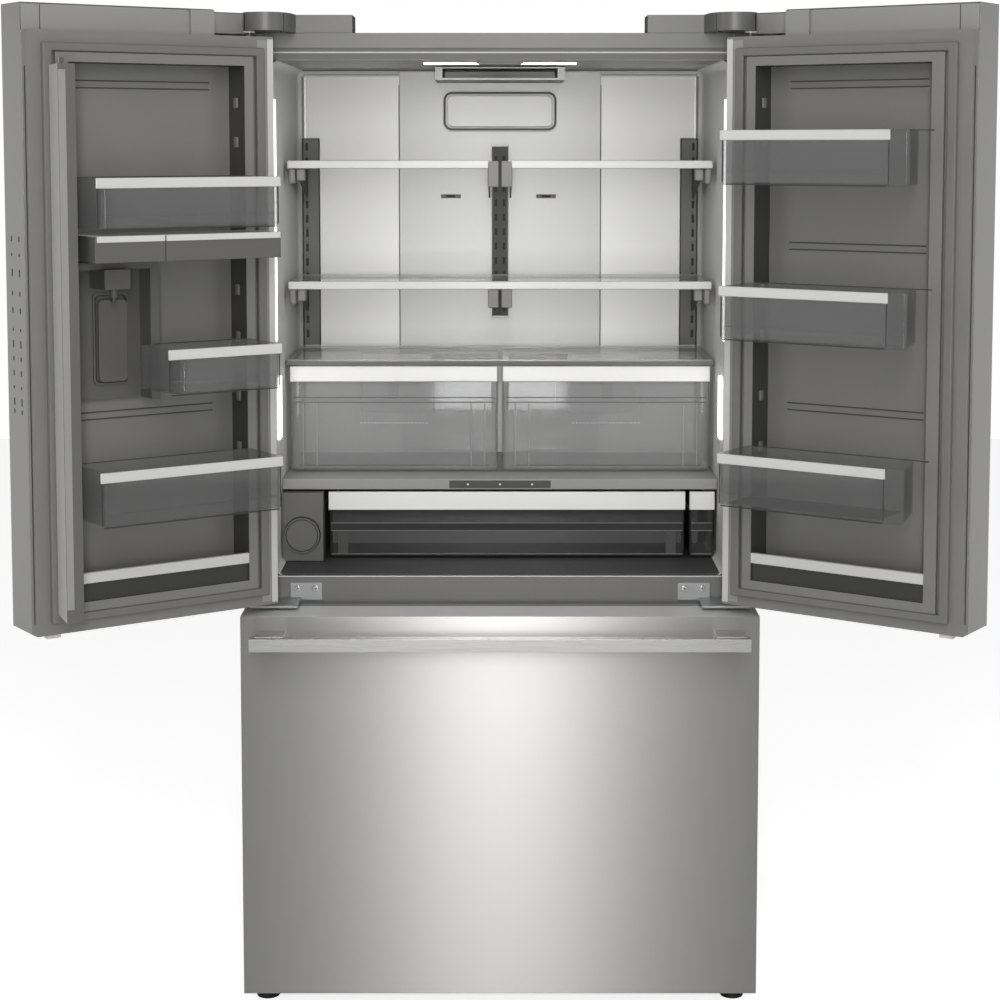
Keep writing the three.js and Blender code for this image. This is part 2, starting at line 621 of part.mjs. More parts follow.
function buildDispenser(door) {
  const back = CAVITY.back + GAP;
  const top = 1346;
  const housing = union(
    door.box(238, 373, back, -40, 1113, top),
    door.box(224, 240, back, 4, 1113, top),
    door.box(238, 373, back, 4, top - 12, top),
  );
  const spout = union(
    door.box(284, 330, -41, 22, 1302, top - 11),
    cylinder('z', door.atU(307), 4, 1296, 7, 16, 12),
  );
  door.add('dispenser_housing', union(housing, spout), M.midPlastic);
  const paddle = door.round(268, 320, 1143, 1282, 9, -33, -28);
  door.add('dispenser_paddle', paddle, M.darkPlastic);
}

// Closed compartment across the door above the dispenser. Its hinge-side half is a tray with a front flap.
function buildCompartment(door) {
  const bottom = 1352;
  const top = 1394;
  const lid = 3;
  const split = 268;
  const front = BIN_FRONT - 4;
  const flapFront = BIN_FRONT + 2;
  const freeBack = 376;
  const freeFront = 391;
  const body = door.prism([
    [BIN_HINGE, BIN_BACK],
    [BIN_HINGE, front],
    [split, front],
    [split, flapFront],
    [freeFront, flapFront],
    [freeBack, BIN_BACK],
  ], bottom, top);
  const trayRoom = door.box(BIN_HINGE + BIN_WALL, split - BIN_WALL, BIN_BACK + BIN_WALL, front + 1,
    bottom + BIN_WALL, top - lid);
  const pipeRoom = door.prism([
    [split + BIN_WALL, BIN_BACK - 1],
    [split + BIN_WALL, front],
    [freeFront - BIN_WALL - 1, front],
    [freeBack - BIN_WALL - 1, BIN_BACK - 1],
  ], bottom - 1, top - lid);
  door.add('door_compartment', cut(body, trayRoom, pipeRoom), M.midPlastic);
  const cover = door.box(BIN_HINGE, split - 1, front + GAP, flapFront, bottom, top);
  door.add('compartment_cover', cover, M.midPlastic);
}

function buildDoors() {
  const left = makeDoor('left', -1);
  buildDoorBody(left);
  buildDoorBin(left, 'top_bin', 376, 388, 1404, 1488);
  buildCompartment(left);
  buildDispenser(left);
  buildDoorBin(left, 'small_bin', 240, 266, 1131, 1207);
  buildDoorBin(left, 'low_bin', 376, 388, 924, 1015);
  buildFlap(left);

  const right = makeDoor('right', 1);
  buildDoorBody(right);
  const floors = { top_bin: [1474, 1565], middle_bin: [1213, 1304], low_bin: [930, 1020] };
  for (const [label, [z0, z1]] of Object.entries(floors)) buildDoorBin(right, label, 395, 363, z0, z1);
}

// ---------------------------------------------------------------- freezer drawer
function buildFreezerDrawer() {
  const skin = cut(
    box(-HALF_WIDTH, HALF_WIDTH, -DOOR_DEPTH, LINER_REAR, DRAWER_BOTTOM, DRAWER_TOP),
    box(
      -HALF_WIDTH + SHEET, HALF_WIDTH - SHEET,
      -DOOR_DEPTH + SHEET, 0,
      DRAWER_BOTTOM + SHEET, DRAWER_TOP - SHEET,
    ),
  );
  addPart('freezer_drawer_skin', skin, M.stainless);
  const edge = HALF_WIDTH - 0.5;
  const liner = cut(
    box(-edge, edge, LINER_REAR + GAP, 0, DRAWER_BOTTOM, DRAWER_TOP),
    box(-edge + WALL, edge - WALL, LINER_REAR - 1, -WALL, DRAWER_BOTTOM + WALL, DRAWER_TOP - WALL),
  );
  addPart('freezer_drawer_liner', liner, M.linerGrey);
  const gasket = cut(
    box(-430, 430, GAP, 11.6, 38, 708),
    box(-414, 414, -5, 20, 54, 692),
  );
  addPart('freezer_drawer_gasket', gasket, M.gasket);

  const barZ0 = 665;
  const barZ1 = 688;
  const barFront = -DOOR_DEPTH - 62;
  const postFront = barFront + 14;
  const postBack = -DOOR_DEPTH - GAP;
  const posts = SIDES.map(([, side]) => sideBox(side, 377, 427, postFront, postBack, barZ0 + 5, barZ1 + 1));
  const handle = union(box(-435, 435, barFront, barFront + 20, barZ0, barZ1), ...posts);
  addPart('freezer_handle', handle, M.handle);

  const lowFloor = 80;
  const lowBasket = openBin(
    rectangle(-388, 388, 20, 405),
    rectangle(-388 + WALL, 388 - WALL, 20 + WALL, 405 - WALL),
    lowFloor,
    330,
  );
  const slides = SIDES.map(([, side]) => union(
    sideBox(side, 391, 400, GAP, 410, 300, 337),
    sideBox(side, 386, 392, 20, 405, 318, 329),
  ));
  addPart('freezer_lower_basket', union(lowBasket, ...slides), M.freezerWhite);
  const highBasket = openBin(
    rectangle(-386, 386, 20, 385),
    rectangle(-386 + WALL, 386 - WALL, 20 + WALL, 385 - WALL),
    440,
    600,
  );
  addPart('freezer_upper_basket', highBasket, M.freezerWhite);
}

buildCase();
buildLiners();
buildRunningGear();
buildCooling();
buildHinges();
buildFreshFood();
buildDoors();
buildFreezerDrawer();

// The origin goes to the bottom centre of the whole model as it stands, doors open.
const bounds = new THREE.Box3().setFromObject(model, true);
model.position.y = -(bounds.min.y + bounds.max.y) / 2;

export default fridge;
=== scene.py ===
"""Looks for the french door refrigerator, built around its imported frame.

Lengths in the tables below are millimetres in the cabinet's own coordinates: X from the centre plane,
Y from the closed doors' inner faces into the cabinet, Z from the floor. Door pieces are shaped with the
door shut and then hung at the angle the frame holds. Everything in Blender is in metres.
"""
import json
import math

import bpy
from mathutils import Matrix, Vector


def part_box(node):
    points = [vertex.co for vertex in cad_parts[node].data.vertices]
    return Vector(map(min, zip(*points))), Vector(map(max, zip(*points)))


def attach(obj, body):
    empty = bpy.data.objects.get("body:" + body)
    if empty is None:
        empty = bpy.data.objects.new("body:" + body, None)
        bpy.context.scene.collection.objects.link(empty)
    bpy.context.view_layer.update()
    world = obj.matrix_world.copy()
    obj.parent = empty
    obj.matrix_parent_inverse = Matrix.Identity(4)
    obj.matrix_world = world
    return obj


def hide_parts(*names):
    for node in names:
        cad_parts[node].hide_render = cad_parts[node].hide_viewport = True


bl_info = {
    "name": "French door refrigerator",
    "version": (1, 0, 0),
    "blender": (4, 5, 0),
    "location": "View3D > Sidebar > Refrigerator",
    "description": "Finishes and details of a french door refrigerator with a bottom freezer drawer",
    "category": "Object",
}

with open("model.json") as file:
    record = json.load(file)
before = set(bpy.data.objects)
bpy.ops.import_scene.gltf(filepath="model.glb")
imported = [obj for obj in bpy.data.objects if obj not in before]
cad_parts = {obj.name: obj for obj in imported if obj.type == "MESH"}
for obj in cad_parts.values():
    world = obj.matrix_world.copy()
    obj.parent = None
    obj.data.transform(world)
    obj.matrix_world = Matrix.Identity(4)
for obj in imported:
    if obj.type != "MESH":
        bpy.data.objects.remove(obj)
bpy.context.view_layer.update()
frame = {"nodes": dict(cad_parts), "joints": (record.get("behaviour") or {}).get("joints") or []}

MM = 0.001
SMOOTH_ANGLE = math.radians(32.0)     # edges sharper than this stay sharp
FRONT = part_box("freezer_drawer_liner")[1].y          # the closed doors' inner faces
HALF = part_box("freezer_drawer_skin")[1].x            # half the cabinet's width
LEFT = -1
RIGHT = 1
SIDES = ((LEFT, "left"), (RIGHT, "right"))
DOOR_BODY = {LEFT: "left_door", RIGHT: "right_door"}
SWING = {joint["child"]: joint for joint in frame["joints"]}


# ------------------------------------------------------------------ settings
class FridgeSizes(bpy.types.PropertyGroup):
    """Sizes that a user may change."""
    edge: bpy.props.FloatProperty(
        name="Edge radius", description="Rounding of moulded edges",
        default=0.0012, min=0.0002, max=0.004, unit="LENGTH")
    sheet_edge: bpy.props.FloatProperty(
        name="Sheet edge radius", description="Rounding of folded steel edges",
        default=0.0007, min=0.0001, max=0.003, unit="LENGTH")
    trim_edge: bpy.props.FloatProperty(
        name="Trim edge radius", description="Rounding of shelf and bin trims",
        default=0.0015, min=0.0002, max=0.004, unit="LENGTH")
    rib_height: bpy.props.FloatProperty(
        name="Rib height", description="How far the ribs in the doors stand out",
        default=0.0022, min=0.0005, max=0.005, unit="LENGTH")
    lamp_power: bpy.props.FloatProperty(
        name="Inside lamp power", description="Power of the lamps inside the compartment",
        default=0.17, min=0.0, max=60.0, unit="POWER")
    room_power: bpy.props.FloatProperty(
        name="Studio lamp power", description="Power of the large soft lamp in front",
        default=76.0, min=0.0, max=600.0, unit="POWER")


class FridgeColours(bpy.types.PropertyGroup):
    """Colours that a user may change."""
    steel: bpy.props.FloatVectorProperty(
        name="Stainless steel", description="Door skins and drawer front",
        subtype="COLOR", size=3, min=0, max=1, default=(0.42, 0.416, 0.407))
    room: bpy.props.FloatVectorProperty(
        name="Compartment steel", description="Walls of the fresh-food compartment",
        subtype="COLOR", size=3, min=0, max=1, default=(0.36, 0.358, 0.353))
    case: bpy.props.FloatVectorProperty(
        name="Case paint", description="Painted case and hinge covers",
        subtype="COLOR", size=3, min=0, max=1, default=(0.20, 0.198, 0.194))
    liner: bpy.props.FloatVectorProperty(
        name="Door liner", description="Moulded inner faces of the doors",
        subtype="COLOR", size=3, min=0, max=1, default=(0.262, 0.259, 0.253))
    trim: bpy.props.FloatVectorProperty(
        name="Trim", description="Light trims of shelves and bins",
        subtype="COLOR", size=3, min=0, max=1, default=(0.87, 0.865, 0.85))


class FridgeSettings(bpy.types.PropertyGroup):
    """All settings of the refrigerator."""
    sizes: bpy.props.PointerProperty(type=FridgeSizes)
    colours: bpy.props.PointerProperty(type=FridgeColours)


def sizes():
    return bpy.context.scene.fridge.sizes


def colours():
    return bpy.context.scene.fridge.colours


# ------------------------------------------------------------------ places
def place(x, y, z):
    """A point given in the cabinet's millimetres, in the frame's metres."""
    return Vector((x * MM, y * MM + FRONT, z * MM))


def door_x(side, u):
    """X of a point u millimetres from the hinge-side edge of a shut door."""
    return side * (HALF / MM - u)


def door_swing(side):
    """How far a door stands open, and the point on the floor under its hinge."""
    joint = SWING[DOOR_BODY[side]]
    angle = side * math.radians(-min(joint["range_deg"]))
    return angle, Vector((joint["pos_m"][0], joint["pos_m"][1], 0))


def hang(piece, side):
    """Turns a piece that was shaped on the shut door to where the door stands."""
    angle, hinge = door_swing(side)
    turn = Matrix.Rotation(angle, 4, "Z")
    choose(piece)
    piece.matrix_world = Matrix.Translation(hinge) @ turn @ Matrix.Translation(-hinge)
    bpy.ops.object.transform_apply(location=True, rotation=True, scale=True)
    return piece


def shut_point(side, point):
    """A point on a hung door as U, Y and Z in millimetres, where it is with the door shut."""
    angle, hinge = door_swing(side)
    back = Matrix.Rotation(-angle, 3, "Z") @ (point - hinge) + hinge
    return Vector((HALF / MM - back.x / MM * side, (back.y - FRONT) / MM, back.z / MM))


def shut_direction(side, direction):
    """A direction on a hung door, turned back to what it is with the door shut."""
    return Matrix.Rotation(-door_swing(side)[0], 3, "Z") @ direction


def choose(*pieces):
    """Deselects everything and selects these pieces, the last one active."""
    bpy.ops.object.select_all(action="DESELECT")
    for piece in pieces:
        piece.select_set(True)
        bpy.context.view_layer.objects.active = piece


# ------------------------------------------------------------------ shaping
def edit(piece, mode="FACE"):
    """Opens a piece for editing with nothing selected."""
    choose(piece)
    bpy.ops.object.mode_set(mode="EDIT")
    bpy.ops.mesh.select_mode(type=mode)
    bpy.ops.mesh.select_all(action="DESELECT")
    bpy.ops.object.mode_set(mode="OBJECT")
    return piece.data


def do_in_edit(operator, **values):
    """Runs one edit-mode operator on what is selected."""
    bpy.ops.object.mode_set(mode="EDIT")
    operator(**values)
    bpy.ops.object.mode_set(mode="OBJECT")


def modify(piece, kind, **values):
    """Adds a modifier and applies it."""
    choose(piece)
    modifier = piece.modifiers.new(kind.title(), kind)
    for key, value in values.items():
        setattr(modifier, key, value)
    bpy.ops.object.modifier_apply(modifier=modifier.name)
    return piece


def soften(piece, radius, segments=2, angle=30.0):
    """Rounds every edge that is sharper than the angle."""
    if radius > 0:
        modify(piece, "BEVEL", width=radius, segments=segments, limit_method="ANGLE",
               angle_limit=math.radians(angle), use_clamp_overlap=True)
    return piece


def block(x0, x1, y0, y1, z0, z1, radius=0.0, segments=2):
    """A box between two corners, in cabinet millimetres, with rounded edges."""
    low = place(min(x0, x1), y0, z0)
    high = place(max(x0, x1), y1, z1)
    bpy.ops.object.select_all(action="DESELECT")
    bpy.ops.mesh.primitive_cube_add(size=1, location=(low + high) / 2, scale=high - low)
    bpy.ops.object.transform_apply(location=True, rotation=True, scale=True)
    return soften(bpy.context.object, radius, segments)


def door_block(side, u0, u1, v0, v1, z0, z1, radius=0.0, segments=2):
    """A rounded box on the shut door, from the hinge-side edge, the inner face and the floor."""
    return block(door_x(side, u0), door_x(side, u1), v0, v1, z0, z1, radius, segments)


def rod(x, y, z, radius, length, axis="Y", edge=0.0006, vertices=32):
    """A cylinder centred on a point, in cabinet millimetres, with rounded rims."""
    turn = {"X": (0, math.pi / 2, 0), "Y": (math.pi / 2, 0, 0), "Z": (0, 0, 0)}[axis]
    bpy.ops.object.select_all(action="DESELECT")
    bpy.ops.mesh.primitive_cylinder_add(vertices=vertices, radius=radius * MM, depth=length * MM,
                                        location=place(x, y, z), rotation=turn)
    bpy.ops.object.transform_apply(location=True, rotation=True, scale=True)
    return soften(bpy.context.object, edge)


def joined(pieces):
    """One object from a list of them; a single object is left as it is."""
    if not isinstance(pieces, list):
        return pieces
    if len(pieces) == 1:
        return pieces[0]
    choose(*pieces)
    bpy.ops.object.join()
    return bpy.context.object


def select_edges(piece, test):
    """Selects the edges whose two ends pass the test."""
    mesh = edit(piece, "EDGE")
    for edge in mesh.edges:
        a, b = (mesh.vertices[i].co for i in edge.vertices)
        edge.select = test(a, b)


def select_faces(piece, test):
    """Selects the faces whose centre and normal pass the test."""
    mesh = edit(piece, "FACE")
    for face in mesh.polygons:
        face.select = test(face.center, face.normal)


def tray(x0, x1, y0, y1, z0, z1, wall, corner=10.0, foot=6.0, lean=0.0, lean_side=1):
    """An open bin with rounded upright corners and foot. lean moves the back of one end along X."""
    body = block(x0, x1, y0, y1, z0, z1)
    mesh = body.data
    if lean:
        end = max(x0, x1) if lean_side > 0 else min(x0, x1)
        for vertex in mesh.vertices:
            if abs(vertex.co.x - end * MM) < MM and vertex.co.y > (y0 + y1) / 2 * MM + FRONT:
                vertex.co.x += lean * MM
    upright = MM
    select_edges(body, lambda a, b: abs(a.x - b.x) < abs(lean) * MM + upright and abs(a.z - b.z) > upright)
    do_in_edit(bpy.ops.mesh.bevel, offset=corner * MM, segments=5, affect="EDGES")
    bottom = z0 * MM + 1e-5
    select_edges(body, lambda a, b: a.z < bottom and b.z < bottom)
    do_in_edit(bpy.ops.mesh.bevel, offset=foot * MM, segments=4, affect="EDGES")
    select_faces(body, lambda centre, normal: normal.z > 0.9 and centre.z > z1 * MM - 1e-4)
    do_in_edit(bpy.ops.mesh.delete, type="FACE")
    modify(body, "SOLIDIFY", thickness=wall * MM, offset=-1)
    return soften(body, 0.0004, 1, 60)


def finish(pieces, name, body, look):
    """Joins blocks into one named piece with its material and body, and smooths it by angle."""
    piece = joined(pieces)
    piece.name = name
    piece.data.name = name
    piece.data.materials.clear()
    piece.data.materials.append(M[look])
    choose(piece)
    bpy.ops.object.shade_smooth_by_angle(angle=SMOOTH_ANGLE)
    modify(piece, "WEIGHTED_NORMAL", keep_sharp=True)
    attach(piece, body)
    return piece


def finish_hung(side, pieces, name, look, body=None):
    """Finishes blocks that were shaped on a shut door, hung where the door stands."""
    return finish(hang(joined(pieces), side), name, body or DOOR_BODY[side], look)


def paint_faces(piece, look, test):
    """Gives the faces whose centre and normal pass the test another material."""
    piece.data.materials.append(M[look])
    index = len(piece.data.materials) - 1
    for face in piece.data.polygons:
        if test(face.center, face.normal):
            face.material_index = index


def softened(node, radius, segments=2):
    """A copy of a frame part with its doubles merged, its flats joined and its edges rounded."""
    source = frame["nodes"][node]
    piece = source.copy()
    piece.data = source.data.copy()
    piece.parent = None
    for key in list(piece.keys()):
        del piece[key]
    bpy.context.scene.collection.objects.link(piece)
    piece.matrix_world = Matrix.Identity(4)
    mesh = edit(piece)
    for face in mesh.polygons:
        face.select = True
    do_in_edit(bpy.ops.mesh.remove_doubles, threshold=0.00002)
    for face in piece.data.polygons:
        face.select = True
    do_in_edit(bpy.ops.mesh.dissolve_limited, angle_limit=math.radians(1.0))
    soften(piece, radius, segments)
    return piece


# ------------------------------------------------------------------ shader groups
def new_group(name, inputs, outputs):
    """An empty shader group with named sockets; returns it with its two end nodes."""
    group = bpy.data.node_groups.new(name, "ShaderNodeTree")
    for label, kind, value in inputs:
        socket = group.interface.new_socket(name=label, in_out="INPUT", socket_type=kind)
        if value is not None:
            socket.default_value = value
    for label, kind in outputs:
        group.interface.new_socket(name=label, in_out="OUTPUT", socket_type=kind)
    start = group.nodes.new("NodeGroupInput")
    end = group.nodes.new("NodeGroupOutput")
    return group, start, end


def math_node(tree, operation, first, second):
    """A Math node; each of its two inputs is a socket or a number."""
    node = tree.nodes.new("ShaderNodeMath")
    node.operation = operation
    for index, value in enumerate((first, second)):
        if isinstance(value, (int, float)):
            node.inputs[index].default_value = value
        else:
            tree.links.new(value, node.inputs[index])
    return node.outputs[0]


def mix_colour(tree, factor, dark, light):
    """Mixes two colour sockets or values by a factor socket."""
    node = tree.nodes.new("ShaderNodeMix")
    node.data_type = "RGBA"
    tree.links.new(factor, node.inputs["Factor"])
    for socket, value in ((node.inputs[6], dark), (node.inputs[7], light)):
        if isinstance(value, bpy.types.NodeSocket):
            tree.links.new(value, socket)
        else:
            socket.default_value = value
    return node.outputs[2]


def brushed_group():
    """Fine brushed grain: lines along the stretch."""
    group, start, end = new_group(
        "Brushed grain",
        [("Coordinates", "NodeSocketVector", None), ("Lines", "NodeSocketFloat", 900.0)],
        [("Grain", "NodeSocketFloat")])
    stretch = group.nodes.new("ShaderNodeVectorMath")
    stretch.operation = "MULTIPLY"
    stretch.inputs[1].default_value = (0.006, 0.006, 1.0)
    group.links.new(start.outputs["Coordinates"], stretch.inputs[0])
    lines = group.nodes.new("ShaderNodeTexNoise")
    lines.inputs["Detail"].default_value = 3
    lines.inputs["Roughness"].default_value = 0.6
    group.links.new(stretch.outputs[0], lines.inputs["Vector"])
    group.links.new(start.outputs["Lines"], lines.inputs["Scale"])
    group.links.new(lines.outputs["Fac"], end.inputs["Grain"])
    return group


def moulded_group():
    """Fine leathered texture of moulded plastic and paint, with a slow change of shade."""
    group, start, end = new_group(
        "Moulded skin",
        [("Coordinates", "NodeSocketVector", None), ("Grain", "NodeSocketFloat", 900.0),
         ("Patches", "NodeSocketFloat", 4.0)],
        [("Height", "NodeSocketFloat"), ("Shade", "NodeSocketFloat")])
    cells = group.nodes.new("ShaderNodeTexVoronoi")
    cells.feature = "SMOOTH_F1"
    group.links.new(start.outputs["Coordinates"], cells.inputs["Vector"])
    group.links.new(start.outputs["Grain"], cells.inputs["Scale"])
    shade = group.nodes.new("ShaderNodeTexNoise")
    shade.inputs["Detail"].default_value = 3
    group.links.new(start.outputs["Coordinates"], shade.inputs["Vector"])
    group.links.new(start.outputs["Patches"], shade.inputs["Scale"])
    group.links.new(cells.outputs["Distance"], end.inputs["Height"])
    group.links.new(shade.outputs["Fac"], end.inputs["Shade"])
    return group


def edge_group():
    """Where a surface turns a corner or sits in a recess, from how pointed the mesh is."""
    group, start, end = new_group(
        "Corner shade",
        [("Strength", "NodeSocketFloat", 1.0)],
        [("Corner", "NodeSocketFloat")])
    geometry = group.nodes.new("ShaderNodeNewGeometry")
    ramp = group.nodes.new("ShaderNodeMapRange")
    ramp.inputs["From Min"].default_value = 0.50
    ramp.inputs["From Max"].default_value = 0.60
    group.links.new(geometry.outputs["Pointiness"], ramp.inputs["Value"])
    scaled = math_node(group, "MULTIPLY", ramp.outputs["Result"], start.outputs["Strength"])
    group.links.new(scaled, end.inputs["Corner"])
    return group


GROUPS = {}


def group_node(tree, key, **values):
    """Places a shared group in a material with its own values, on object coordinates."""
    makers = {"brushed": brushed_group, "moulded": moulded_group, "corner": edge_group}
    if key not in GROUPS:
        GROUPS[key] = makers[key]()
    node = tree.nodes.new("ShaderNodeGroup")
    node.node_tree = GROUPS[key]
    for label, value in values.items():
        node.inputs[label].default_value = value
    if "Coordinates" in node.inputs:
        coordinates = tree.nodes.new("ShaderNodeTexCoord")
        tree.links.new(coordinates.outputs["Object"], node.inputs["Coordinates"])
    return node


def shades(colour, spread):
    """A colour a little darker and a little lighter, as RGBA."""
    dark = tuple(min(c * (1 - spread), 1) for c in colour) + (1,)
    light = tuple(min(c * (1 + spread), 1) for c in colour) + (1,)
    return dark, light


def new_material(name):
    material = bpy.data.materials.new(name)
    material.use_nodes = True
    tree = material.node_tree
    return material, tree, tree.nodes["Principled BSDF"]


def bump_into(tree, shader, height, strength, distance):
    bump = tree.nodes.new("ShaderNodeBump")
    bump.inputs["Strength"].default_value = strength
    bump.inputs["Distance"].default_value = distance
    tree.links.new(height, bump.inputs["Height"])
    tree.links.new(bump.outputs["Normal"], shader.inputs["Normal"])


def brushed_metal(name, colour, low, high, lines=900.0, anisotropy=0.6, metallic=1.0, bump=0.05):
    """Brushed metal with horizontal grain."""
    material, tree, shader = new_material(name)
    grain = group_node(tree, "brushed", Lines=lines)
    dark, light = shades(colour, 0.03)
    tree.links.new(mix_colour(tree, grain.outputs["Grain"], dark, light), shader.inputs["Base Color"])
    spread = math_node(tree, "MULTIPLY", grain.outputs["Grain"], high - low)
    tree.links.new(math_node(tree, "ADD", spread, low), shader.inputs["Roughness"])
    shader.inputs["Metallic"].default_value = metallic
    shader.inputs["Anisotropic"].default_value = anisotropy
    shader.inputs["Anisotropic Rotation"].default_value = 0.25
    tangent = tree.nodes.new("ShaderNodeTangent")
    tangent.direction_type = "RADIAL"
    tangent.axis = "Z"
    tree.links.new(tangent.outputs["Tangent"], shader.inputs["Tangent"])
    bump_into(tree, shader, grain.outputs["Grain"], bump, 0.0002)
    return material


def moulded_plastic(name, colour, roughness, grain=900.0, bump=0.12, spread=0.05, metallic=0.0, wear=0.15):
    """Moulded plastic or paint with a fine texture, lighter along its convex corners."""
    material, tree, shader = new_material(name)
    skin = group_node(tree, "moulded", Grain=grain, Patches=4.0)
    corner = group_node(tree, "corner", Strength=wear)
    dark, light = shades(colour, spread)
    base = mix_colour(tree, skin.outputs["Shade"], dark, light)
    corner_tone = shades(colour, 0.45)[1]
    tree.links.new(mix_colour(tree, corner.outputs["Corner"], base, corner_tone), shader.inputs["Base Color"])
    change = math_node(tree, "MULTIPLY", skin.outputs["Shade"], 0.12)
    tree.links.new(math_node(tree, "ADD", change, roughness - 0.06), shader.inputs["Roughness"])
    shader.inputs["Metallic"].default_value = metallic
    bump_into(tree, shader, skin.outputs["Height"], bump, 0.0001)
    return material


def clear_plastic(name, colour, alpha, roughness=0.06):
    """Clear or smoked plastic, a little denser in slow patches."""
    material, tree, shader = new_material(name)
    skin = group_node(tree, "moulded", Grain=60.0, Patches=6.0)
    dark, light = shades(colour, 0.05)
    tree.links.new(mix_colour(tree, skin.outputs["Shade"], dark, light), shader.inputs["Base Color"])
    change = math_node(tree, "MULTIPLY", skin.outputs["Shade"], 0.06)
    tree.links.new(math_node(tree, "ADD", change, roughness - 0.03), shader.inputs["Roughness"])
    shader.inputs["Alpha"].default_value = alpha
    shader.inputs["Coat Weight"].default_value = 0.6
    shader.inputs["Coat Roughness"].default_value = 0.03
    material.surface_render_method = "BLENDED"
    return material


def lamp_lens(name, strength):
    """The frosted lens of a lamp that is lit."""
    material, tree, shader = new_material(name)
    skin = group_node(tree, "moulded", Grain=400.0, Patches=12.0)
    dark, light = (0.86, 0.87, 0.88, 1), (1, 1, 1, 1)
    tree.links.new(mix_colour(tree, skin.outputs["Shade"], dark, light), shader.inputs["Base Color"])
    tree.links.new(mix_colour(tree, skin.outputs["Shade"], dark, light), shader.inputs["Emission Color"])
    shader.inputs["Emission Strength"].default_value = strength
    shader.inputs["Roughness"].default_value = 0.4
    return material


# A colour is given as such, or by the name of the setting that holds it.
METALS = {
    # key: name, colour, least and greatest roughness, grain, anisotropy, metallic, bump
    "steel": ("Stainless_skin", "steel", 0.36, 0.40, 2600.0, 0.95, 1.0, 0.006),
    "handle": ("Handle_steel", (0.62, 0.615, 0.60), 0.24, 0.30, 1400.0, 0.0, 1.0, 0.01),
    "room": ("Compartment_steel", "room", 0.36, 0.44, 1800.0, 0.6, 0.9, 0.01),
    "zinc": ("Galvanised_steel", (0.45, 0.455, 0.46), 0.40, 0.60, 120.0, 0.0, 0.9),
    "fins": ("Evaporator_aluminium", (0.62, 0.63, 0.64), 0.35, 0.5, 300.0, 0.0),
    "screw": ("Bright_screw", (0.75, 0.75, 0.74), 0.12, 0.2, 2000.0, 0.0),
    # back and wall are lighter copies of the compartment steel, painted light on the back and side walls;
    # the wall copy also covers the vent plates
    "back": ("Back_wall_steel", (0.48, 0.477, 0.47), 0.36, 0.44, 1800.0, 0.6, 0.9, 0.01),
    "wall": ("Compartment_wall", (0.90, 0.895, 0.885), 0.42, 0.50, 1800.0, 0.3, 0.10, 0.01),
}
PLASTICS = {
    # key: name, colour, roughness, grain, bump, spread of shade, metallic, lightening of convex corners
    "case": ("Case_paint", "case", 0.40, 700.0, 0.10, 0.04, 0.25),
    "liner": ("Door_liner", "liner", 0.42, 900.0, 0.10),
    # light grey; on the freezer drawer's top face and the centre flap's side faces it is a painted highlight
    "strip": ("Door_strip", (0.72, 0.715, 0.70), 0.36, 900.0, 0.05),
    "lip": ("Door_lip", (0.24, 0.238, 0.232), 0.42, 900.0, 0.10),
    "gasket": ("Gasket_rubber", (0.22, 0.218, 0.213), 0.62, 500.0, 0.2),
    "trim": ("Light_trim", "trim", 0.32, 900.0, 0.04, 0.02, 0.15, 0.05),
    # mid grey plastic; on the centre flap's front faces it is painted shade
    "mid": ("Grey_plastic", (0.15, 0.148, 0.144), 0.42),
    # dark plastic; also painted shade in the crisper vents' gaps and holes
    "dark": ("Dark_plastic", (0.075, 0.075, 0.073), 0.45),
    # black plastic; also painted shade in openings, slots and screw recesses
    "black": ("Black_plastic", (0.018, 0.018, 0.018), 0.55),
    "iron": ("Black_steel", (0.02, 0.02, 0.021), 0.38, 300.0, 0.15, 0.1, 0.4),
    "white": ("Freezer_plastic", (0.78, 0.78, 0.77), 0.45),
    # dark print and seam marks; also the painted shade on the compartment's floor
    "mark": ("Printed_mark", (0.055, 0.055, 0.055), 0.5, 900.0, 0.02),
    # dark grey plastic; on the door cavities' side and top walls it is painted shade
    "recess": ("Recess_plastic", (0.07, 0.069, 0.067), 0.45),
    "panel": ("Retainer_panel", (0.06, 0.06, 0.058), 0.12, 900.0, 0.01),
    "plate": ("Light_grey_plastic", (0.36, 0.357, 0.35), 0.38, 900.0, 0.04),
    "shelf": ("Shelf_trim", (0.62, 0.617, 0.605), 0.32, 900.0, 0.04, 0.02, 0.15, 0.05),
    # a brighter copy of the trim: painted highlight on the compartment's rounded corners and painted light
    # on the drawer trims that sit in shade
    "bright": ("Bright_trim", (0.97, 0.965, 0.95), 0.32, 900.0, 0.04, 0.02, 0.15, 0.05),
}
CLEAR_PLASTICS = {
    # key: name, colour, alpha, roughness
    "clear": ("Clear_plastic", (0.20, 0.202, 0.20), 0.30),
    "crisper": ("Crisper_plastic", (0.62, 0.622, 0.62), 0.22),
    "smoke": ("Smoked_plastic", (0.045, 0.045, 0.044), 0.80),
    "glass": ("Shelf_glass", (0.78, 0.80, 0.79), 0.34, 0.05),
}
LENS_STRENGTH = 2.2
M = {}


def make_materials():
    """Every finish of the refrigerator."""
    makers = ((brushed_metal, METALS), (moulded_plastic, PLASTICS), (clear_plastic, CLEAR_PLASTICS))
    for maker, table in makers:
        for key, (name, colour, *values) in table.items():
            if isinstance(colour, str):
                colour = tuple(getattr(colours(), colour))
            M[key] = maker(name, colour, *values)
    M["lens"] = lamp_lens("Lamp_lens", LENS_STRENGTH)


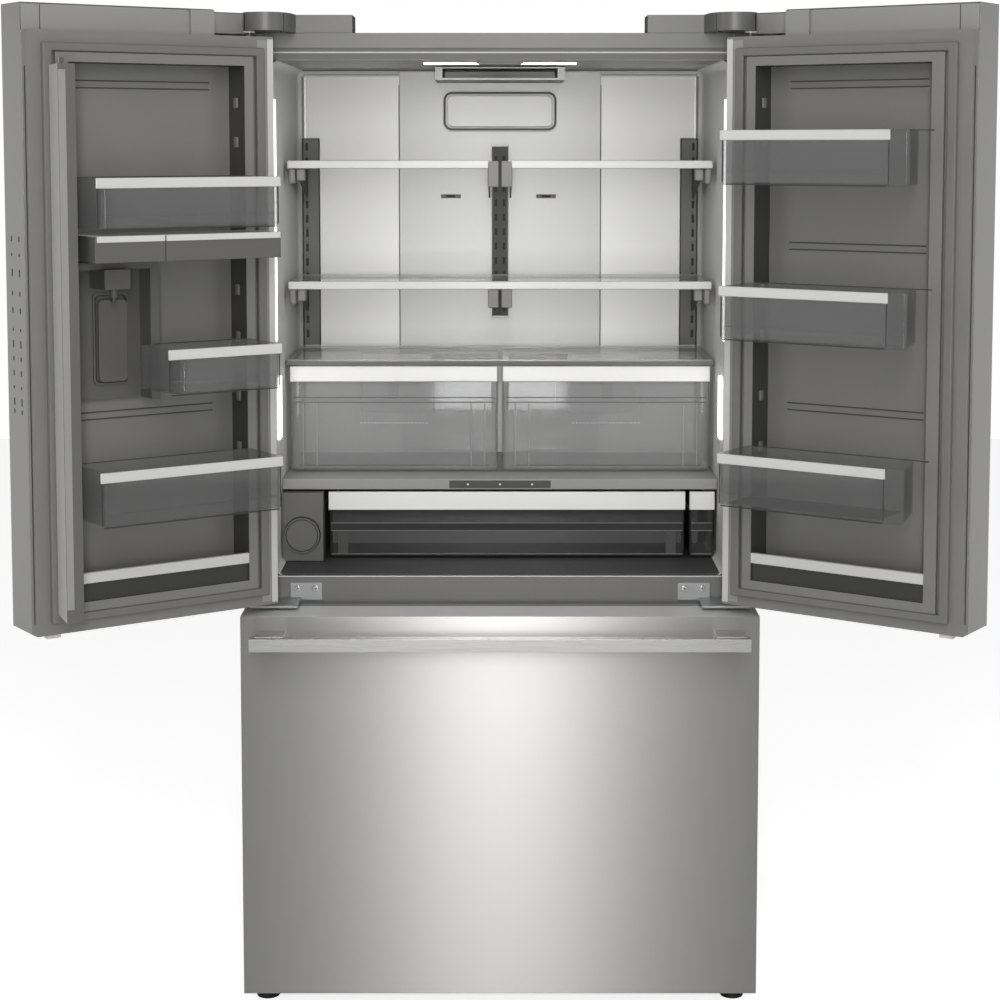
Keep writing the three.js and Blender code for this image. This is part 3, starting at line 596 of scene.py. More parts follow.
# ------------------------------------------------------------------ softened frame parts
PLAIN_PARTS = (
    # node, body, slot, look, edge kind; {side} stands for left and for right
    ("case_wrapper", "root", "case_paint", "case", "sheet"),
    ("back_panel", "root", "galvanised", "zinc", "sheet"),
    ("machine_compartment_cover", "root", "galvanised", "zinc", "none"),
    ("base_plate", "root", "galvanised", "zinc", "none"),
    ("middle_rail", "root", "case_paint", "case", "sheet"),
    ("freezer_liner", "root", "freezer_plastic", "white", "mould"),
    ("front_leg_{side}", "root", "black_plastic", "black", "mould"),
    ("compressor", "root", "black_steel", "iron", "mould"),
    ("condenser", "root", "black_steel", "iron", "none"),
    ("evaporator", "root", "evaporator_aluminium", "fins", "none"),
    ("upper_hinge_{side}", "root", "case_paint", "case", "mould"),
    ("lower_hinge_{side}", "root", "galvanised", "zinc", "sheet"),
    ("air_duct_panel", "root", "interior_steel", "room", "mould"),
    ("flap_guide", "root", "mid_plastic", "mid", "mould"),
    ("shelf_track_{side}", "root", "dark_plastic", "mid", "sheet"),
    ("pantry_cover", "root", "mid_plastic", "plate", "mould"),
    ("filter_housing", "root", "mid_plastic", "mid", "mould"),
    ("water_filter", "water_filter", "mid_plastic", "mid", "mould"),
    ("{side}_door_skin", "{side}_door", "stainless_skin", "steel", "sheet"),
    ("{side}_door_gasket", "{side}_door", "gasket", "gasket", "gasket"),
    ("{side}_door_handle", "{side}_door", "handle_steel", "handle", "bar"),
    ("freezer_drawer_skin", "freezer_drawer", "stainless_skin", "steel", "sheet"),
    ("freezer_drawer_liner", "freezer_drawer", "door_liner", "liner", "mould"),
    ("freezer_drawer_gasket", "freezer_drawer", "gasket", "gasket", "gasket"),
    ("freezer_handle", "freezer_drawer", "handle_steel", "handle", "bar"),
    ("freezer_lower_basket", "freezer_drawer", "freezer_plastic", "white", "sheet"),
    ("freezer_upper_basket", "freezer_upper_basket", "freezer_plastic", "white", "sheet"),
    ("door_compartment", "{side}_door", "mid_plastic", "mid", "mould"),
    ("compartment_cover", "compartment_cover", "mid_plastic", "mid", "mould"),
    ("dispenser_housing", "{side}_door", "mid_plastic", "mid", "mould"),
    ("dispenser_paddle", "dispenser_paddle", "dark_plastic", "mid", "mould"),
    ("centre_flap", "centre_flap", "door_liner", "liner", "mould"),
    ("rear_roller_{side}", "rear_roller_{side}", "black_plastic", "black", "sheet"),
    ("condenser_fan", "condenser_fan", "mid_plastic", "dark", "none"),
    ("evaporator_fan", "evaporator_fan", "mid_plastic", "dark", "none"),
)
POCKET_FOOT = 1725.5                   # foot of the pocket around an upper hinge
POCKET_WIDTH = 103
FLAP_BEAD = 12.0                       # width of the bead on the folded flap
FLAP_TURN = 22.98                      # degrees that the folded flap's end face is turned at rest
FLAP_CORNER = (-699.3, -501.7, 0)      # outer corner of that face at rest, in the frame's millimetres


class FRIDGE_OT_panels(bpy.types.Operator):
    """Rounds the edges of the frame's plain parts and gives them their finishes"""
    bl_idname = "fridge.panels"
    bl_label = "Panels and plain parts"

    def execute(self, context):
        radii = {
            "sheet": sizes().sheet_edge, "mould": sizes().edge, "gasket": 0.0028, "bar": 0.0035, "none": 0.0,
        }
        for row in PLAIN_PARTS:
            for side, name in SIDES if "{side}" in row[0] else SIDES[:1]:
                self.plain_part(side, radii, *(entry.format(side=name) for entry in row))
        self.flap_bead()
        return {"FINISHED"}

    def plain_part(self, side, radii, node, body, slot, look, kind):
        """One part of the frame, with the faces that have another finish."""
        piece = softened(node, radii[kind], 4 if kind in ("bar", "gasket") else 2)
        finish(piece, node + "_finished", body, look)
        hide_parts(node)
        if node == "centre_flap":
            # painted light: the flap's faces turned towards -X get a lighter grey as a painted highlight,
            # and its faces turned to the front a darker grey as painted shade
            paint_faces(piece, "strip", lambda centre, normal: normal.x < -0.5)
            paint_faces(piece, "mid", lambda centre, normal: normal.y < -0.7)
        elif node == "freezer_drawer_skin":
            # painted highlight: the steel skin's upward-facing top face gets a light grey for the light
            # falling on it from above
            paint_faces(piece, "strip", lambda centre, normal: normal.z > 0.9)
        elif node.endswith("_door_skin"):
            paint_faces(piece, "lip", lambda centre, normal: self.in_pocket(side, centre, normal))

    def in_pocket(self, side, centre, normal):
        """Whether a face of a door's skin is in the pocket around its upper hinge."""
        spot = shut_point(side, centre)
        return spot.z > POCKET_FOOT and spot.x < POCKET_WIDTH and normal.z < 0.9

    def flap_bead(self):
        """The light bead along the outer corner of the folded centre flap."""
        bead = block(-FLAP_BEAD / 2, FLAP_BEAD / 2, -0.3, 0.5, 790, 1660, 0.0003, 1)
        corner = Vector(FLAP_CORNER) * MM
        turn = Matrix.Rotation(math.radians(FLAP_TURN), 4, "Z")
        choose(bead)
        middle = turn @ Vector((FLAP_BEAD / 2 * MM, 0, 0))
        bead.matrix_world = Matrix.Translation(corner + middle) @ turn @ Matrix.Translation((0, -FRONT, 0))
        bpy.ops.object.transform_apply(location=True, rotation=True, scale=True)
        finish(bead, "centre_flap_bead", "centre_flap", "plate")


FLANGES = (
    # left, right, foot and top of the strips round the compartment's opening
    (-421, -409.2, 762, 1715), (409.2, 421, 762, 1715), (-409, 409, 1691.2, 1715),
)


class FRIDGE_OT_compartment(bpy.types.Operator):
    """Lines the fresh-food compartment with rounded corners"""
    bl_idname = "fridge.compartment"
    bl_label = "Fresh-food compartment lining"

    def execute(self, context):
        inner = 408.0
        shell = block(-inner, inner, 14, 500, 762, 1690)
        select_faces(shell, lambda centre, normal: normal.y < -0.9)
        do_in_edit(bpy.ops.mesh.delete, type="FACE")
        back = place(0, 500, 0).y - 1e-4
        select_edges(shell, lambda a, b: (a.y > back and b.y > back) or abs(a.y - b.y) > 0.1)
        do_in_edit(bpy.ops.mesh.bevel, offset=0.017, segments=6, affect="EDGES")
        modify(shell, "SOLIDIFY", thickness=0.0009, offset=1)
        modify(shell, "BEVEL", width=0.0003, segments=1, limit_method="ANGLE", angle_limit=math.radians(60))
        flange = [block(x0, x1, 13.9, 14.8, z0, z1, 0.0002, 1) for x0, x1, z0, z1 in FLANGES]
        piece = joined([*flange, shell])
        finish(piece, "fresh_food_lining", "root", "room")
        opening = place(0, 15, 0).y
        # painted light: the side walls get a much lighter, mostly diffuse copy of the compartment steel,
        # because little light reaches them
        paint_faces(piece, "wall", lambda centre, normal: abs(normal.x) > 0.15 and centre.y > opening)
        paint_faces(piece, "mid", lambda centre, normal: centre.y < opening and centre.z > 1.69)
        # painted highlight: the middle faces of the rounded back corners get the bright trim colour
        paint_faces(piece, "bright", self.on_round)
        # painted light: the back wall gets a lighter copy of the compartment steel
        rear = place(0, 498, 0).y
        paint_faces(piece, "back", lambda centre, normal: centre.y > rear and normal.y < -0.9)
        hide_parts("fresh_food_liner")
        return {"FINISHED"}

    def on_round(self, centre, normal):
        """Whether a face is in the middle of the rounding at the back's sides or top, where a highlight is
        painted.
        """
        beside = 0.45 < abs(normal.x) < 0.9 and normal.y < -0.4
        above = -0.9 < normal.z < -0.6 and normal.y < -0.4
        return centre.z > 1.14 and (beside or above)


# ------------------------------------------------------------------ doors
DOOR_BINS = {
    # node: (side, free edge at the back, free edge at the front, bottom, top)
    "left_door_top_bin": (LEFT, 376, 388, 1404, 1488),
    "left_door_small_bin": (LEFT, 240, 266, 1131, 1207),
    "left_door_low_bin": (LEFT, 376, 388, 924, 1015),
    "right_door_top_bin": (RIGHT, 395, 363, 1474, 1565),
    "right_door_middle_bin": (RIGHT, 395, 363, 1213, 1304),
    "right_door_low_bin": (RIGHT, 395, 363, 930, 1020),
}
BIN_HINGE = 56
BIN_BACK = 9
BIN_FRONT = 122
BIN_WALL = 2.4
BIN_TRIM = 17                          # height of the trim
CAVITY = {"hinge": 61, "free": 382, "bottom": 782, "top": 1675, "back": -50}


class FRIDGE_OT_door_liners(bpy.types.Operator):
    """Moulded door liners with their ribs, lugs, seams and retainers"""
    bl_idname = "fridge.door_liners"
    bl_label = "Door liners"

    def execute(self, context):
        for side, name in SIDES:
            body = name + "_door"
            piece = softened(body + "_liner", sizes().edge, 2)
            finish(piece, body + "_liner_moulded", body, "liner")
            # painted shade: the cavity's side and top walls get a dark grey for the shade on them, though
            # the liner is one plastic
            paint_faces(piece, "recess", lambda centre, normal: self.on_shaded_cavity_wall(side, centre, normal))
            paint_faces(piece, "panel", lambda centre, normal: self.on_panel(side, centre))
            paint_faces(piece, "plate", lambda centre, normal: centre.z > POCKET_FOOT * MM)
            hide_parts(body + "_liner")
            self.ribs(side, name)
            self.retainer(side, name)
            self.edge_strips(side, name)
            self.small_parts(side, name)
        return {"FINISHED"}

    def on_shaded_cavity_wall(self, side, centre, normal):
        """Whether a face is on the side or top wall of the cavity, where shade is painted."""
        spot = shut_point(side, centre)
        way = shut_direction(side, normal)
        inside = CAVITY["hinge"] - 0.5 < spot.x < CAVITY["free"] + 0.5 and spot.y < 8 and spot.z > 831
        return inside and (abs(way.x) > 0.7 or way.z < -0.7)

    def on_panel(self, side, centre):
        """Whether a face is on the retainer's clear dark panel under its rail."""
        spot = shut_point(side, centre)
        across = CAVITY["hinge"] - 1 < spot.x < CAVITY["free"] + 1
        return across and -0.5 < spot.y < 7.5 and 781 < spot.z < 812

    def ribs(self, side, name):
        """Pairs of shallow ribs on the cavity's back, and the lugs that the bins hang on."""
        back = CAVITY["back"]
        height = sizes().rib_height / MM
        rows = (1641, 1085) if side == LEFT else (1643, 1366, 1086)
        ribs = [door_block(side, 100, 353, back + 0.2, back + height, z + dz - 0.9, z + dz + 0.9, 0.0005, 2)
                for z in rows for dz in (-6, 6)]
        finish_hung(side, ribs, name + "_door_ribs", "recess")
        hinge = CAVITY["hinge"]
        free = CAVITY["free"]
        lugs = []
        for z in (1612, 1545, 1290, 1208, 1105, 1015):
            lugs.append(door_block(side, hinge + 0.2, hinge + 5, -25, -14, z - 9, z + 9, 0.0015, 3))
            lugs.append(door_block(side, free - 5, free - 0.2, -25, -14, z - 9, z + 9, 0.0015, 3))
        finish_hung(side, lugs, name + "_door_lugs", "lip")

    def retainer(self, side, name):
        """The light rail over the foot of the cavity."""
        rail = door_block(side, CAVITY["hinge"] - 1.4, CAVITY["free"] + 1.4, -0.4, 7.8, 812.4, 830.6,
                          0.0015, 3)
        finish_hung(side, rail, name + "_door_retainer_rail", "trim")

    def edge_strips(self, side, name):
        """Bevel and band at the hinge edge, the hinge pocket's back and the seam along the free edge."""
        strip = door_block(side, 1.2, 13, -0.6, 1.4, 736, 1722, 0.0009, 2)
        finish_hung(side, strip, name + "_door_hinge_strip", "strip")
        band = door_block(side, 14.2, 32, -0.4, 0.6, 738, 1720, 0.0004, 1)
        finish_hung(side, band, name + "_door_hinge_band", "plate")
        back = door_block(side, 2.4, 100.6, -84.6, -82.6, 1734.4, 1769.4, 0.0005, 1)
        finish_hung(side, back, name + "_door_pocket_back", "plate")
        seam = door_block(side, 449.6, 450.5, -9.5, -7.5, 752, 1668, 0.0002, 1)
        finish_hung(side, seam, name + "_door_edge_seam", "black")

    def small_parts(self, side, name):
        """The foot tab, the hinge's washer and the seam of the top cap."""
        tab = door_block(side, 407, 431, -17, -3, 725.6, 731.8, 0.0008, 2)
        finish_hung(side, tab, name + "_door_foot_tab", "trim")
        joint = SWING[name + "_door"]
        x = joint["pos_m"][0] / MM
        y = (joint["pos_m"][1] - FRONT) / MM
        washer = rod(x, y, 1736.2, 11, 3.6, "Z", 0.0006, 40)
        finish(washer, name + "_hinge_washer", "root", "trim")
        seam = door_block(side, 415, 416.2, -25.1, -24.4, 1727, 1768, 0.0001, 1)
        finish_hung(side, seam, name + "_door_cap_seam", "mark")


class FRIDGE_OT_door_bins(bpy.types.Operator):
    """Clear door bins with light trims"""
    bl_idname = "fridge.door_bins"
    bl_label = "Door bins"

    def execute(self, context):
        for node, (side, free_back, free_front, bottom, top) in DOOR_BINS.items():
            free = door_x(side, free_front)
            lean = door_x(side, free_back) - free
            bin_body = tray(door_x(side, BIN_HINGE), free, BIN_BACK, BIN_FRONT, bottom, top,
                            BIN_WALL, 8.0, 5.0, lean, -side)
            rib_z = bottom + 22
            line = door_block(side, BIN_HINGE + 10, free_front - 10, BIN_FRONT - 3.6, BIN_FRONT - 2.5,
                              rib_z, rib_z + 1.6, 0.0004, 1)
            piece = joined([line, bin_body])
            finish_hung(side, piece, node + "_body", "clear")
            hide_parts(node)
            trim_foot = top - BIN_TRIM
            trim = door_block(side, BIN_HINGE + 0.3, free_front, BIN_FRONT + 0.3, BIN_FRONT + 4,
                              trim_foot, top, sizes().trim_edge, 3)
            corner = door_block(side, BIN_HINGE + 0.3, BIN_HINGE + 3.4, BIN_FRONT - 16, BIN_FRONT + 1,
                                trim_foot, top, 0.0008, 2)
            finish_hung(side, [corner, trim], node + "_trim", "trim")
            front = (BIN_FRONT - 1.6, BIN_FRONT + 0.4)
            back = (BIN_BACK - 0.4, BIN_BACK + 1.4)
            lines = (
                (BIN_HINGE + 6, free_front - 6, *front, bottom - 0.3, bottom + 1.6),
                (free_front - 4.2, free_front - 2.8, *front, bottom + 5, trim_foot),
                (BIN_HINGE + 2.8, BIN_HINGE + 4.2, *front, bottom + 5, trim_foot),
                (BIN_HINGE + 6, free_back - 6, *back, top - 1.2, top + 0.4),
            )
            edges = [door_block(side, *line, 0.0004, 1) for line in lines]
            finish_hung(side, edges, node + "_edges", "mark")
        mat_ribs = [door_block(RIGHT, u, u + 1.2, 18, 114, 933.2, 935.4, 0.0004, 1)
                    for u in range(70, 352, 6)]
        finish_hung(RIGHT, mat_ribs, "right_low_bin_mat", "mid")
        return {"FINISHED"}


class FRIDGE_OT_dispenser(bpy.types.Operator):
    """Details of the dispenser, the closed compartment and the control marks"""
    bl_idname = "fridge.dispenser"
    bl_label = "Dispenser and controls"

    def execute(self, context):
        frame_ring = self.ring(262, 326, 1138, 1293, -39.9, -36.4, 3.2, 9)
        finish_hung(LEFT, frame_ring, "dispenser_pad_frame", "mid")
        groove = self.ring(266.3, 321.7, 1142.0, 1288.6, -39.8, -38.2, 1.0, 8)
        finish_hung(LEFT, groove, "dispenser_pad_groove", "black")
        nozzle = rod(door_x(LEFT, 307), 4, 1293, 5, 26, "Z", 0.001, 32)
        finish_hung(LEFT, nozzle, "dispenser_nozzle", "dark")
        top = [
            door_block(LEFT, 57, 267, 10, 114.5, 1394.1, 1395.1, 0.0004, 2),
            door_block(LEFT, 269, 388, 10, 124.2, 1394.1, 1395.1, 0.0004, 2),
            door_block(LEFT, 269, 388, 124.1, 125.6, 1385, 1395, 0.0006, 2)]
        finish_hung(LEFT, top, "compartment_top_strip", "trim")
        lip = [
            door_block(LEFT, 57.5, 267, 118.8, 124.2, 1394.1, 1395.1, 0.0004, 2),
            door_block(LEFT, 57.5, 267, 124.1, 125.6, 1385, 1395, 0.0006, 2)]
        finish_hung(LEFT, lip, "compartment_cover_lip", "trim", "compartment_cover")
        self.marks()
        return {"FINISHED"}

    def ring(self, u0, u1, z0, z1, v0, v1, width, corner):
        """A flat rounded frame on the shut left door."""
        piece = door_block(LEFT, u0, u1, v0, v1, z0, z1)
        select_edges(piece, lambda a, b: abs(a.y - b.y) > 1e-4)
        do_in_edit(bpy.ops.mesh.bevel, offset=corner * MM, segments=5, affect="EDGES")
        select_faces(piece, lambda centre, normal: abs(normal.y) > 0.9)
        do_in_edit(bpy.ops.mesh.inset, thickness=width * MM)
        do_in_edit(bpy.ops.mesh.bridge_edge_loops)
        return piece

    def marks(self):
        """Plain touch marks along the left door's free edge: short bars and dots in two columns."""
        marks = []
        edge = 450.0
        heights = [1386, 1360, 1330, 1296, 1268, 1236, 1212, 1188, 1164, 1140, 1116, 1100]
        for index, z in enumerate(heights):
            length = (9, 5, 12, 7)[index % 4]
            for v in (-46, -78):
                marks.append(door_block(LEFT, edge - 0.02, edge + 0.25, v - 2.2, v + 2.2,
                                        z - length / 2, z + length / 2, 0.0001, 1))
        finish_hung(LEFT, marks, "door_touch_marks", "mark")


# ------------------------------------------------------------------ shelves and drawers
SHELVES = {
    # node: (left end, right end, top of the trim, places of the arms)
    "upper_left_shelf": (-400, -15, 1511, (-388, -21)),
    "upper_right_shelf": (15, 400, 1511, (21, 388)),
    "middle_shelf": (-400, 400, 1283, (-388, -9, 9, 388)),
}
SHELF_FRONT = 215
SHELF_BACK = 480
NARROW_DRAWER = 100                    # a drawer this wide or less has no columns


class FRIDGE_OT_shelves(bpy.types.Operator):
    """Glass shelves with light front trims and cantilever arms"""
    bl_idname = "fridge.shelves"
    bl_label = "Shelves"

    def execute(self, context):
        for node, (x0, x1, top, arms) in SHELVES.items():
            pane = block(x0 + 1, x1 - 1, SHELF_FRONT + 8, SHELF_BACK, top - 6.5, top - 2, 0.0008, 2)
            finish(pane, node + "_glass", "root", "glass")
            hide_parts(node)
            trim = block(x0, x1, SHELF_FRONT, SHELF_FRONT + 9, top - 15, top, sizes().trim_edge, 3)
            finish(trim, node + "_trim", "root", "shelf")
            rear = block(x0 + 2, x1 - 2, SHELF_BACK - 12, SHELF_BACK - 1, top - 11.5, top - 7, 0.0008, 2)
            finish(rear, node + "_rear_bar", "root", "mid")
            blades = [self.arm(x, top - 7) for x in arms]
            finish(blades, node + "_arms", "root", "dark")
            ends = []
            for x in arms:
                if abs(x) > 100:
                    middle = x + math.copysign(4, x)
                    ends.append(block(middle - 6, middle + 6, SHELF_FRONT + 2, SHELF_FRONT + 40,
                                      top - 44, top - 15.2, 0.004, 3))
                    inner = x - math.copysign(12, x)
                    ends.append(block(inner - 8, inner + 8, SHELF_FRONT + 10, SHELF_FRONT + 30,
                                      top - 38, top - 15.2, 0.003, 3))
                else:
                    front = SHELF_FRONT - 1.4 if top > 1400 else SHELF_FRONT + 2
                    high = top - 1 if top > 1400 else top - 15.2
                    middle = math.copysign(12.6, x)
                    ends.append(block(middle - 10, middle + 10, front, SHELF_FRONT + 34,
                                      top - 50, high, 0.002, 3))
            finish(ends, node + "_bracket_ends", "root", "liner")
        return {"FINISHED"}

    def arm(self, x, top):
        """A steel arm that is deep at the track and shallow at the front."""
        blade = block(x - 1.5, x + 1.5, SHELF_FRONT + 30, 486, top - 14, top)
        low = (top - 13) * MM
        rear = place(0, 480, 0).y
        drop = 56 * MM
        mesh = blade.data
        for vertex in mesh.vertices:
            if vertex.co.z < low and vertex.co.y > rear:
                vertex.co.z -= drop
        return soften(blade, 0.0005, 2)


class FRIDGE_OT_crispers(bpy.types.Operator):
    """Crisper cover, crisper drawers, pantry drawer and small drawer"""
    bl_idname = "fridge.crispers"
    bl_label = "Crispers and drawers"

    def execute(self, context):
        self.cover()
        for body, x0, x1 in (("left_crisper", -401, -3), ("right_crisper", 3, 401)):
            self.crisper(body, x0, x1)
        for body, x0, x1 in (("pantry_drawer", -322, 348), ("small_drawer", 356, 403)):
            self.drawer(body, x0, x1)
        return {"FINISHED"}

    def crisper(self, body, x0, x1):
        """A clear drawer with its lines, ribs, trim and a row of dots."""
        shell = tray(x0, x1, 229, 480, 919, 1091, BIN_WALL, 14.0, 9.0)
        finish(shell, body + "_body", body, "crisper")
        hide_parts(body)
        lines = [block(x0 + 8, x1 - 8, 227.9, 229.2, z, z + 1.8, 0.0004, 1) for z in (1051, 1060)]
        corners = [block(x - 0.8, x + 0.8, 228.3, 229.4, 934, 1090, 0.0003, 1) for x in (x0 + 4, x1 - 4)]
        foot = block(x0 + 16, x1 - 16, 228.0, 229.2, 930, 932, 0.0004, 1)
        finish(lines + corners + [foot], body + "_edges", body, "mid")
        ribs = [block(x - 1, x + 1, 227.9, 229.2, 930, 1050, 0.0004, 1)
                for x in (x0 + 26, x0 + 52, x1 - 52, x1 - 26)]
        finish(ribs, body + "_ribs", body, "plate")
        trim = block(x0 + 2, x1 - 2, 220, 230, 1092, 1122, sizes().trim_edge, 3)
        finish(trim, body + "_trim", body, "trim")
        dots = [rod((x0 + x1) / 2 + step * 7, 228.4, 1012, 0.9, 1.2, "Y", 0.0, 10) for step in range(-9, 10)]
        finish(dots, body + "_marks", body, "trim")

    def drawer(self, body, x0, x1):
        """A smoked drawer with its lines, dark band and trim; a wide one has a column at each end."""
        shell = tray(x0, x1, 165, 480, 765, 856, BIN_WALL, 8.0, 6.0)
        finish(shell, body + "_body", body, "smoke")
        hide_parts(body)
        lines = [block(x0 + 4, x1 - 4, 163.9, 165.2, z, z + 1.5, 0.0004, 1) for z in (815.8, 830, 771)]
        finish(lines, body + "_lines", body, "liner")
        band = block(x0 + 4, x1 - 4, 164.2, 165.2, 817.4, 829.9, 0.0003, 1)
        finish(band, body + "_band", body, "black")
        if x1 - x0 > NARROW_DRAWER:
            columns = [block(x - 9.6, x + 9.6, 164.4, 165.2, 773, 815, 0.0003, 1)
                       for x in (x0 + 26.4, x1 - 26.4)]
            finish(columns, body + "_columns", body, "recess")
        # painted light: the drawer trims sit in shade, so they take the brighter copy of the trim colour
        trim = block(x0, x1, 156, 166, 857, 892, sizes().trim_edge, 3)
        finish(trim, body + "_trim", body, "bright")

    def cover(self):
        """The crisper cover's glass in its grey frame."""
        pane = block(-404, 404, SHELF_FRONT, 484, 1131, 1135, 0.0008, 2)
        finish(pane, "crisper_cover_glass", "root", "glass")
        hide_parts("crisper_cover")
        bars = [block(-406, 406, SHELF_FRONT - 2, SHELF_FRONT + 8, 1124, 1130.8, 0.001, 2),
                block(-406, 406, 474, 486, 1124, 1130.8, 0.001, 2)]
        bars += [block(x - 5, x + 5, SHELF_FRONT + 8, 474, 1124, 1130.8, 0.001, 2) for x in (-401, 0, 401)]
        finish(bars, "crisper_cover_frame", "root", "mid")


# ------------------------------------------------------------------ inside details
SENSORS = (-99, 93)                    # places of the two sensor slots
DUCT_FACE = 493.8                      # front of the air duct panel
SLOT_STEP = 29                         # from one slot of a shelf track to the next
FILTER_AXIS = (-369, 815)              # X and Z of the water filter's centre line
VENT_STRIPS = (
    # name, distance from the centre plane, half width, front, edge radius, look
    ("crisper_vent_plates", 209, 72, 489.0, 0.002, "wall"),
    # the gaps row is a dark strip of painted shade between the plates and the covers
    ("crisper_vent_gaps", 125, 11.8, 489.6, 0.001, "dark"),
    ("crisper_vent_covers", 66, 47, 489.6, 0.002, "lip"),
)


class FRIDGE_OT_inside(bpy.types.Operator):
    """Lamps, air filter frame, sensor slots, vents, shelf tracks, controls, sill and screws"""
    bl_idname = "fridge.inside"
    bl_label = "Inside details"

    def execute(self, context):
        self.lamps()
        self.filter_frame()
        self.duct_panel()
        self.vents()
        self.tracks()
        self.controls()
        self.filter_cap()
        self.sill()
        self.screws()
        return {"FINISHED"}

    def lamps(self):
        """Lenses of the ceiling, wall and crisper lamps."""
        lenses = []
        for side in (LEFT, RIGHT):
            lenses.append(block(side * 38, side * 140, 116, 126, 1686.5, 1689.8, 0.001, 2))
            lenses.append(block(side * 404.6, side * 407.8, 50, 68, 1185, 1622, 0.001, 2))
            lenses.append(block(side * 403.4, side * 407.8, 84, 122, 1000, 1115, 0.001, 2))
        finish(lenses, "lamp_lenses", "root", "lens")

    def filter_frame(self):
        """The rounded frame around the air filter's cover."""
        ring = block(-113, 113, 480.5, 485.4, 1569, 1646)
        select_edges(ring, lambda a, b: abs(a.y - b.y) > 1e-4)
        do_in_edit(bpy.ops.mesh.bevel, offset=0.017, segments=6, affect="EDGES")
        select_faces(ring, lambda centre, normal: abs(normal.y) > 0.9)
        do_in_edit(bpy.ops.mesh.inset, thickness=0.0042)
        do_in_edit(bpy.ops.mesh.bridge_edge_loops)
        soften(ring, 0.0008, 2)
        finish(ring, "air_filter_frame", "root", "recess")

    def duct_panel(self):
        """Sensor slots and the seams of the air duct panel."""
        slots = [block(x - 20, x + 20, 493.2, 494.3, 1433, 1441, 0.0003, 1) for x in SENSORS]
        finish(slots, "sensor_slots", "root", "mid")
        # painted shade: black blocks stand in for the dark inside of the sensor openings
        holes = [block(x - 9, x + 9, 492.6, 494.4, 1435, 1439, 0.0003, 1) for x in SENSORS]
        finish(holes, "sensor_openings", "root", "black")
        seams = [block(x - 0.8, x + 0.8, 493.4, 499.6, 1136, 1660, 0.0002, 1) for x in (-203, 203)]
        finish(seams, "duct_panel_seams", "root", "mid")

    def vents(self):
        """Plates, gaps and covers behind the crispers, and the vents' small holes."""
        for name, middle, half, front, edge, look in VENT_STRIPS:
            strips = [block(side * middle - half, side * middle + half, front, DUCT_FACE, 999, 1118, edge, 2)
                      for side in (LEFT, RIGHT)]
            finish(strips, name, "root", look)
        # painted shade: dark blocks stand in for the shade inside the vents' holes
        holes = []
        for side in (LEFT, RIGHT):
            for z in (1028 + row * 6.5 for row in range(5)):
                for x in (side * 217 - 9 + column * 6 for column in range(4)):
                    holes.append(block(x - 1.6, x + 1.6, 488.4, 489.2, z - 1.4, z + 1.4, 0.0002, 1))
        finish(holes, "crisper_vent_holes", "root", "dark")

    def tracks(self):
        """Face and slots of the centre shelf track, and outlines and slots of the side ones."""
        face = block(-16, 16, 485.6, 487.2, 1196, 1537, 0.0006, 2)
        finish(face, "centre_track_face", "root", "dark")
        # painted shade: black blocks stand in for the dark inside of the centre track's slots
        slots = [block(x - 2.4, x + 2.4, 484.9, 485.9, z, z + 14, 0.0002, 1)
                 for x in (-8, 8) for z in range(1214, 1520, SLOT_STEP)]
        finish(slots, "centre_track_slots", "root", "black")
        outlines = []
        slots = []
        for side in (LEFT, RIGHT):
            for x in (363.8, 396.4):
                outlines.append(block(side * x - 0.9, side * x + 0.9, 486.1, 487.3, 1137, 1553, 0.0003, 1))
            outlines.append(block(side * 363, side * 397, 486.1, 487.3, 1551.4, 1553.2, 0.0003, 1))
            # painted shade: black blocks stand in for the dark inside of the side tracks' slots
            for z in range(1152, 1535, SLOT_STEP):
                slots.append(block(side * 386, side * 391, 486.2, 487.2, z, z + 15, 0.0003, 1))
        finish(outlines + slots, "side_track_marks", "root", "black")

    def controls(self):
        """Face of the flap guide, and the pantry's control strip with its lights."""
        guide = block(-37, 37, 13.5, 15.3, 1682.5, 1704, 0.0005, 2)
        finish(guide, "flap_guide_face", "root", "mid")
        inset = block(-95, 95, 148.6, 150.2, 900, 914, 0.0006, 2)
        finish(inset, "pantry_control_inset", "root", "dark")
        lights = [rod(x, 148.2, 907, 2, 1.0, "Y", 0.0002, 16) for x in (-60, 0, 60)]
        finish(lights, "pantry_control_lights", "root", "trim")

    def filter_cap(self):
        """Groove and face of the water filter's cap."""
        x, z = FILTER_AXIS
        groove = rod(x, 120.9, z, 30.4, 0.9, "Y", 0.0002, 48)
        finish(groove, "water_filter_cap_groove", "water_filter", "black")
        face = rod(x, 120.4, z, 28.6, 1.6, "Y", 0.0005, 48)
        finish(face, "water_filter_cap_face", "water_filter", "mid")

    def sill(self):
        """The bright sill line under the compartment, the lighter line over it, and a dark sheet of painted
        shade on the compartment's floor.
        """
        bars = [block(-408, 408, 12.2, 16, 759.2, 761.8, 0.0008, 3),
                block(-408, 408, 13.2, 14.2, 1702.5, 1705, 0.0004, 2)]
        finish(bars, "sill_strips", "root", "strip")
        # painted shade: a thin dark sheet over the compartment's floor, where the floor lies in shadow
        shade = block(-406, 406, 24, 478, 762.2, 764.4, 0.0006, 2)
        finish(shade, "compartment_floor_mat", "root", "mark")

    def screws(self):
        """Bright screws in the lower hinge plates, each with a crossed recess."""
        heads = []
        slots = []
        for side in (LEFT, RIGHT):
            for x in (334, 366):
                heads.append(rod(side * x, 4.6, 740, 5.6, 3.2, "Y", 0.0012, 28))
                # painted shade: black crossed blocks stand in for the shade inside each screw's recess
                slots.append(block(side * x - 3, side * x + 3, 2.7, 3.3, 739.5, 740.5))
                slots.append(block(side * x - 0.5, side * x + 0.5, 2.7, 3.3, 737, 743))
        finish(heads, "hinge_screws", "root", "screw")
        finish(slots, "hinge_screw_recesses", "root", "black")


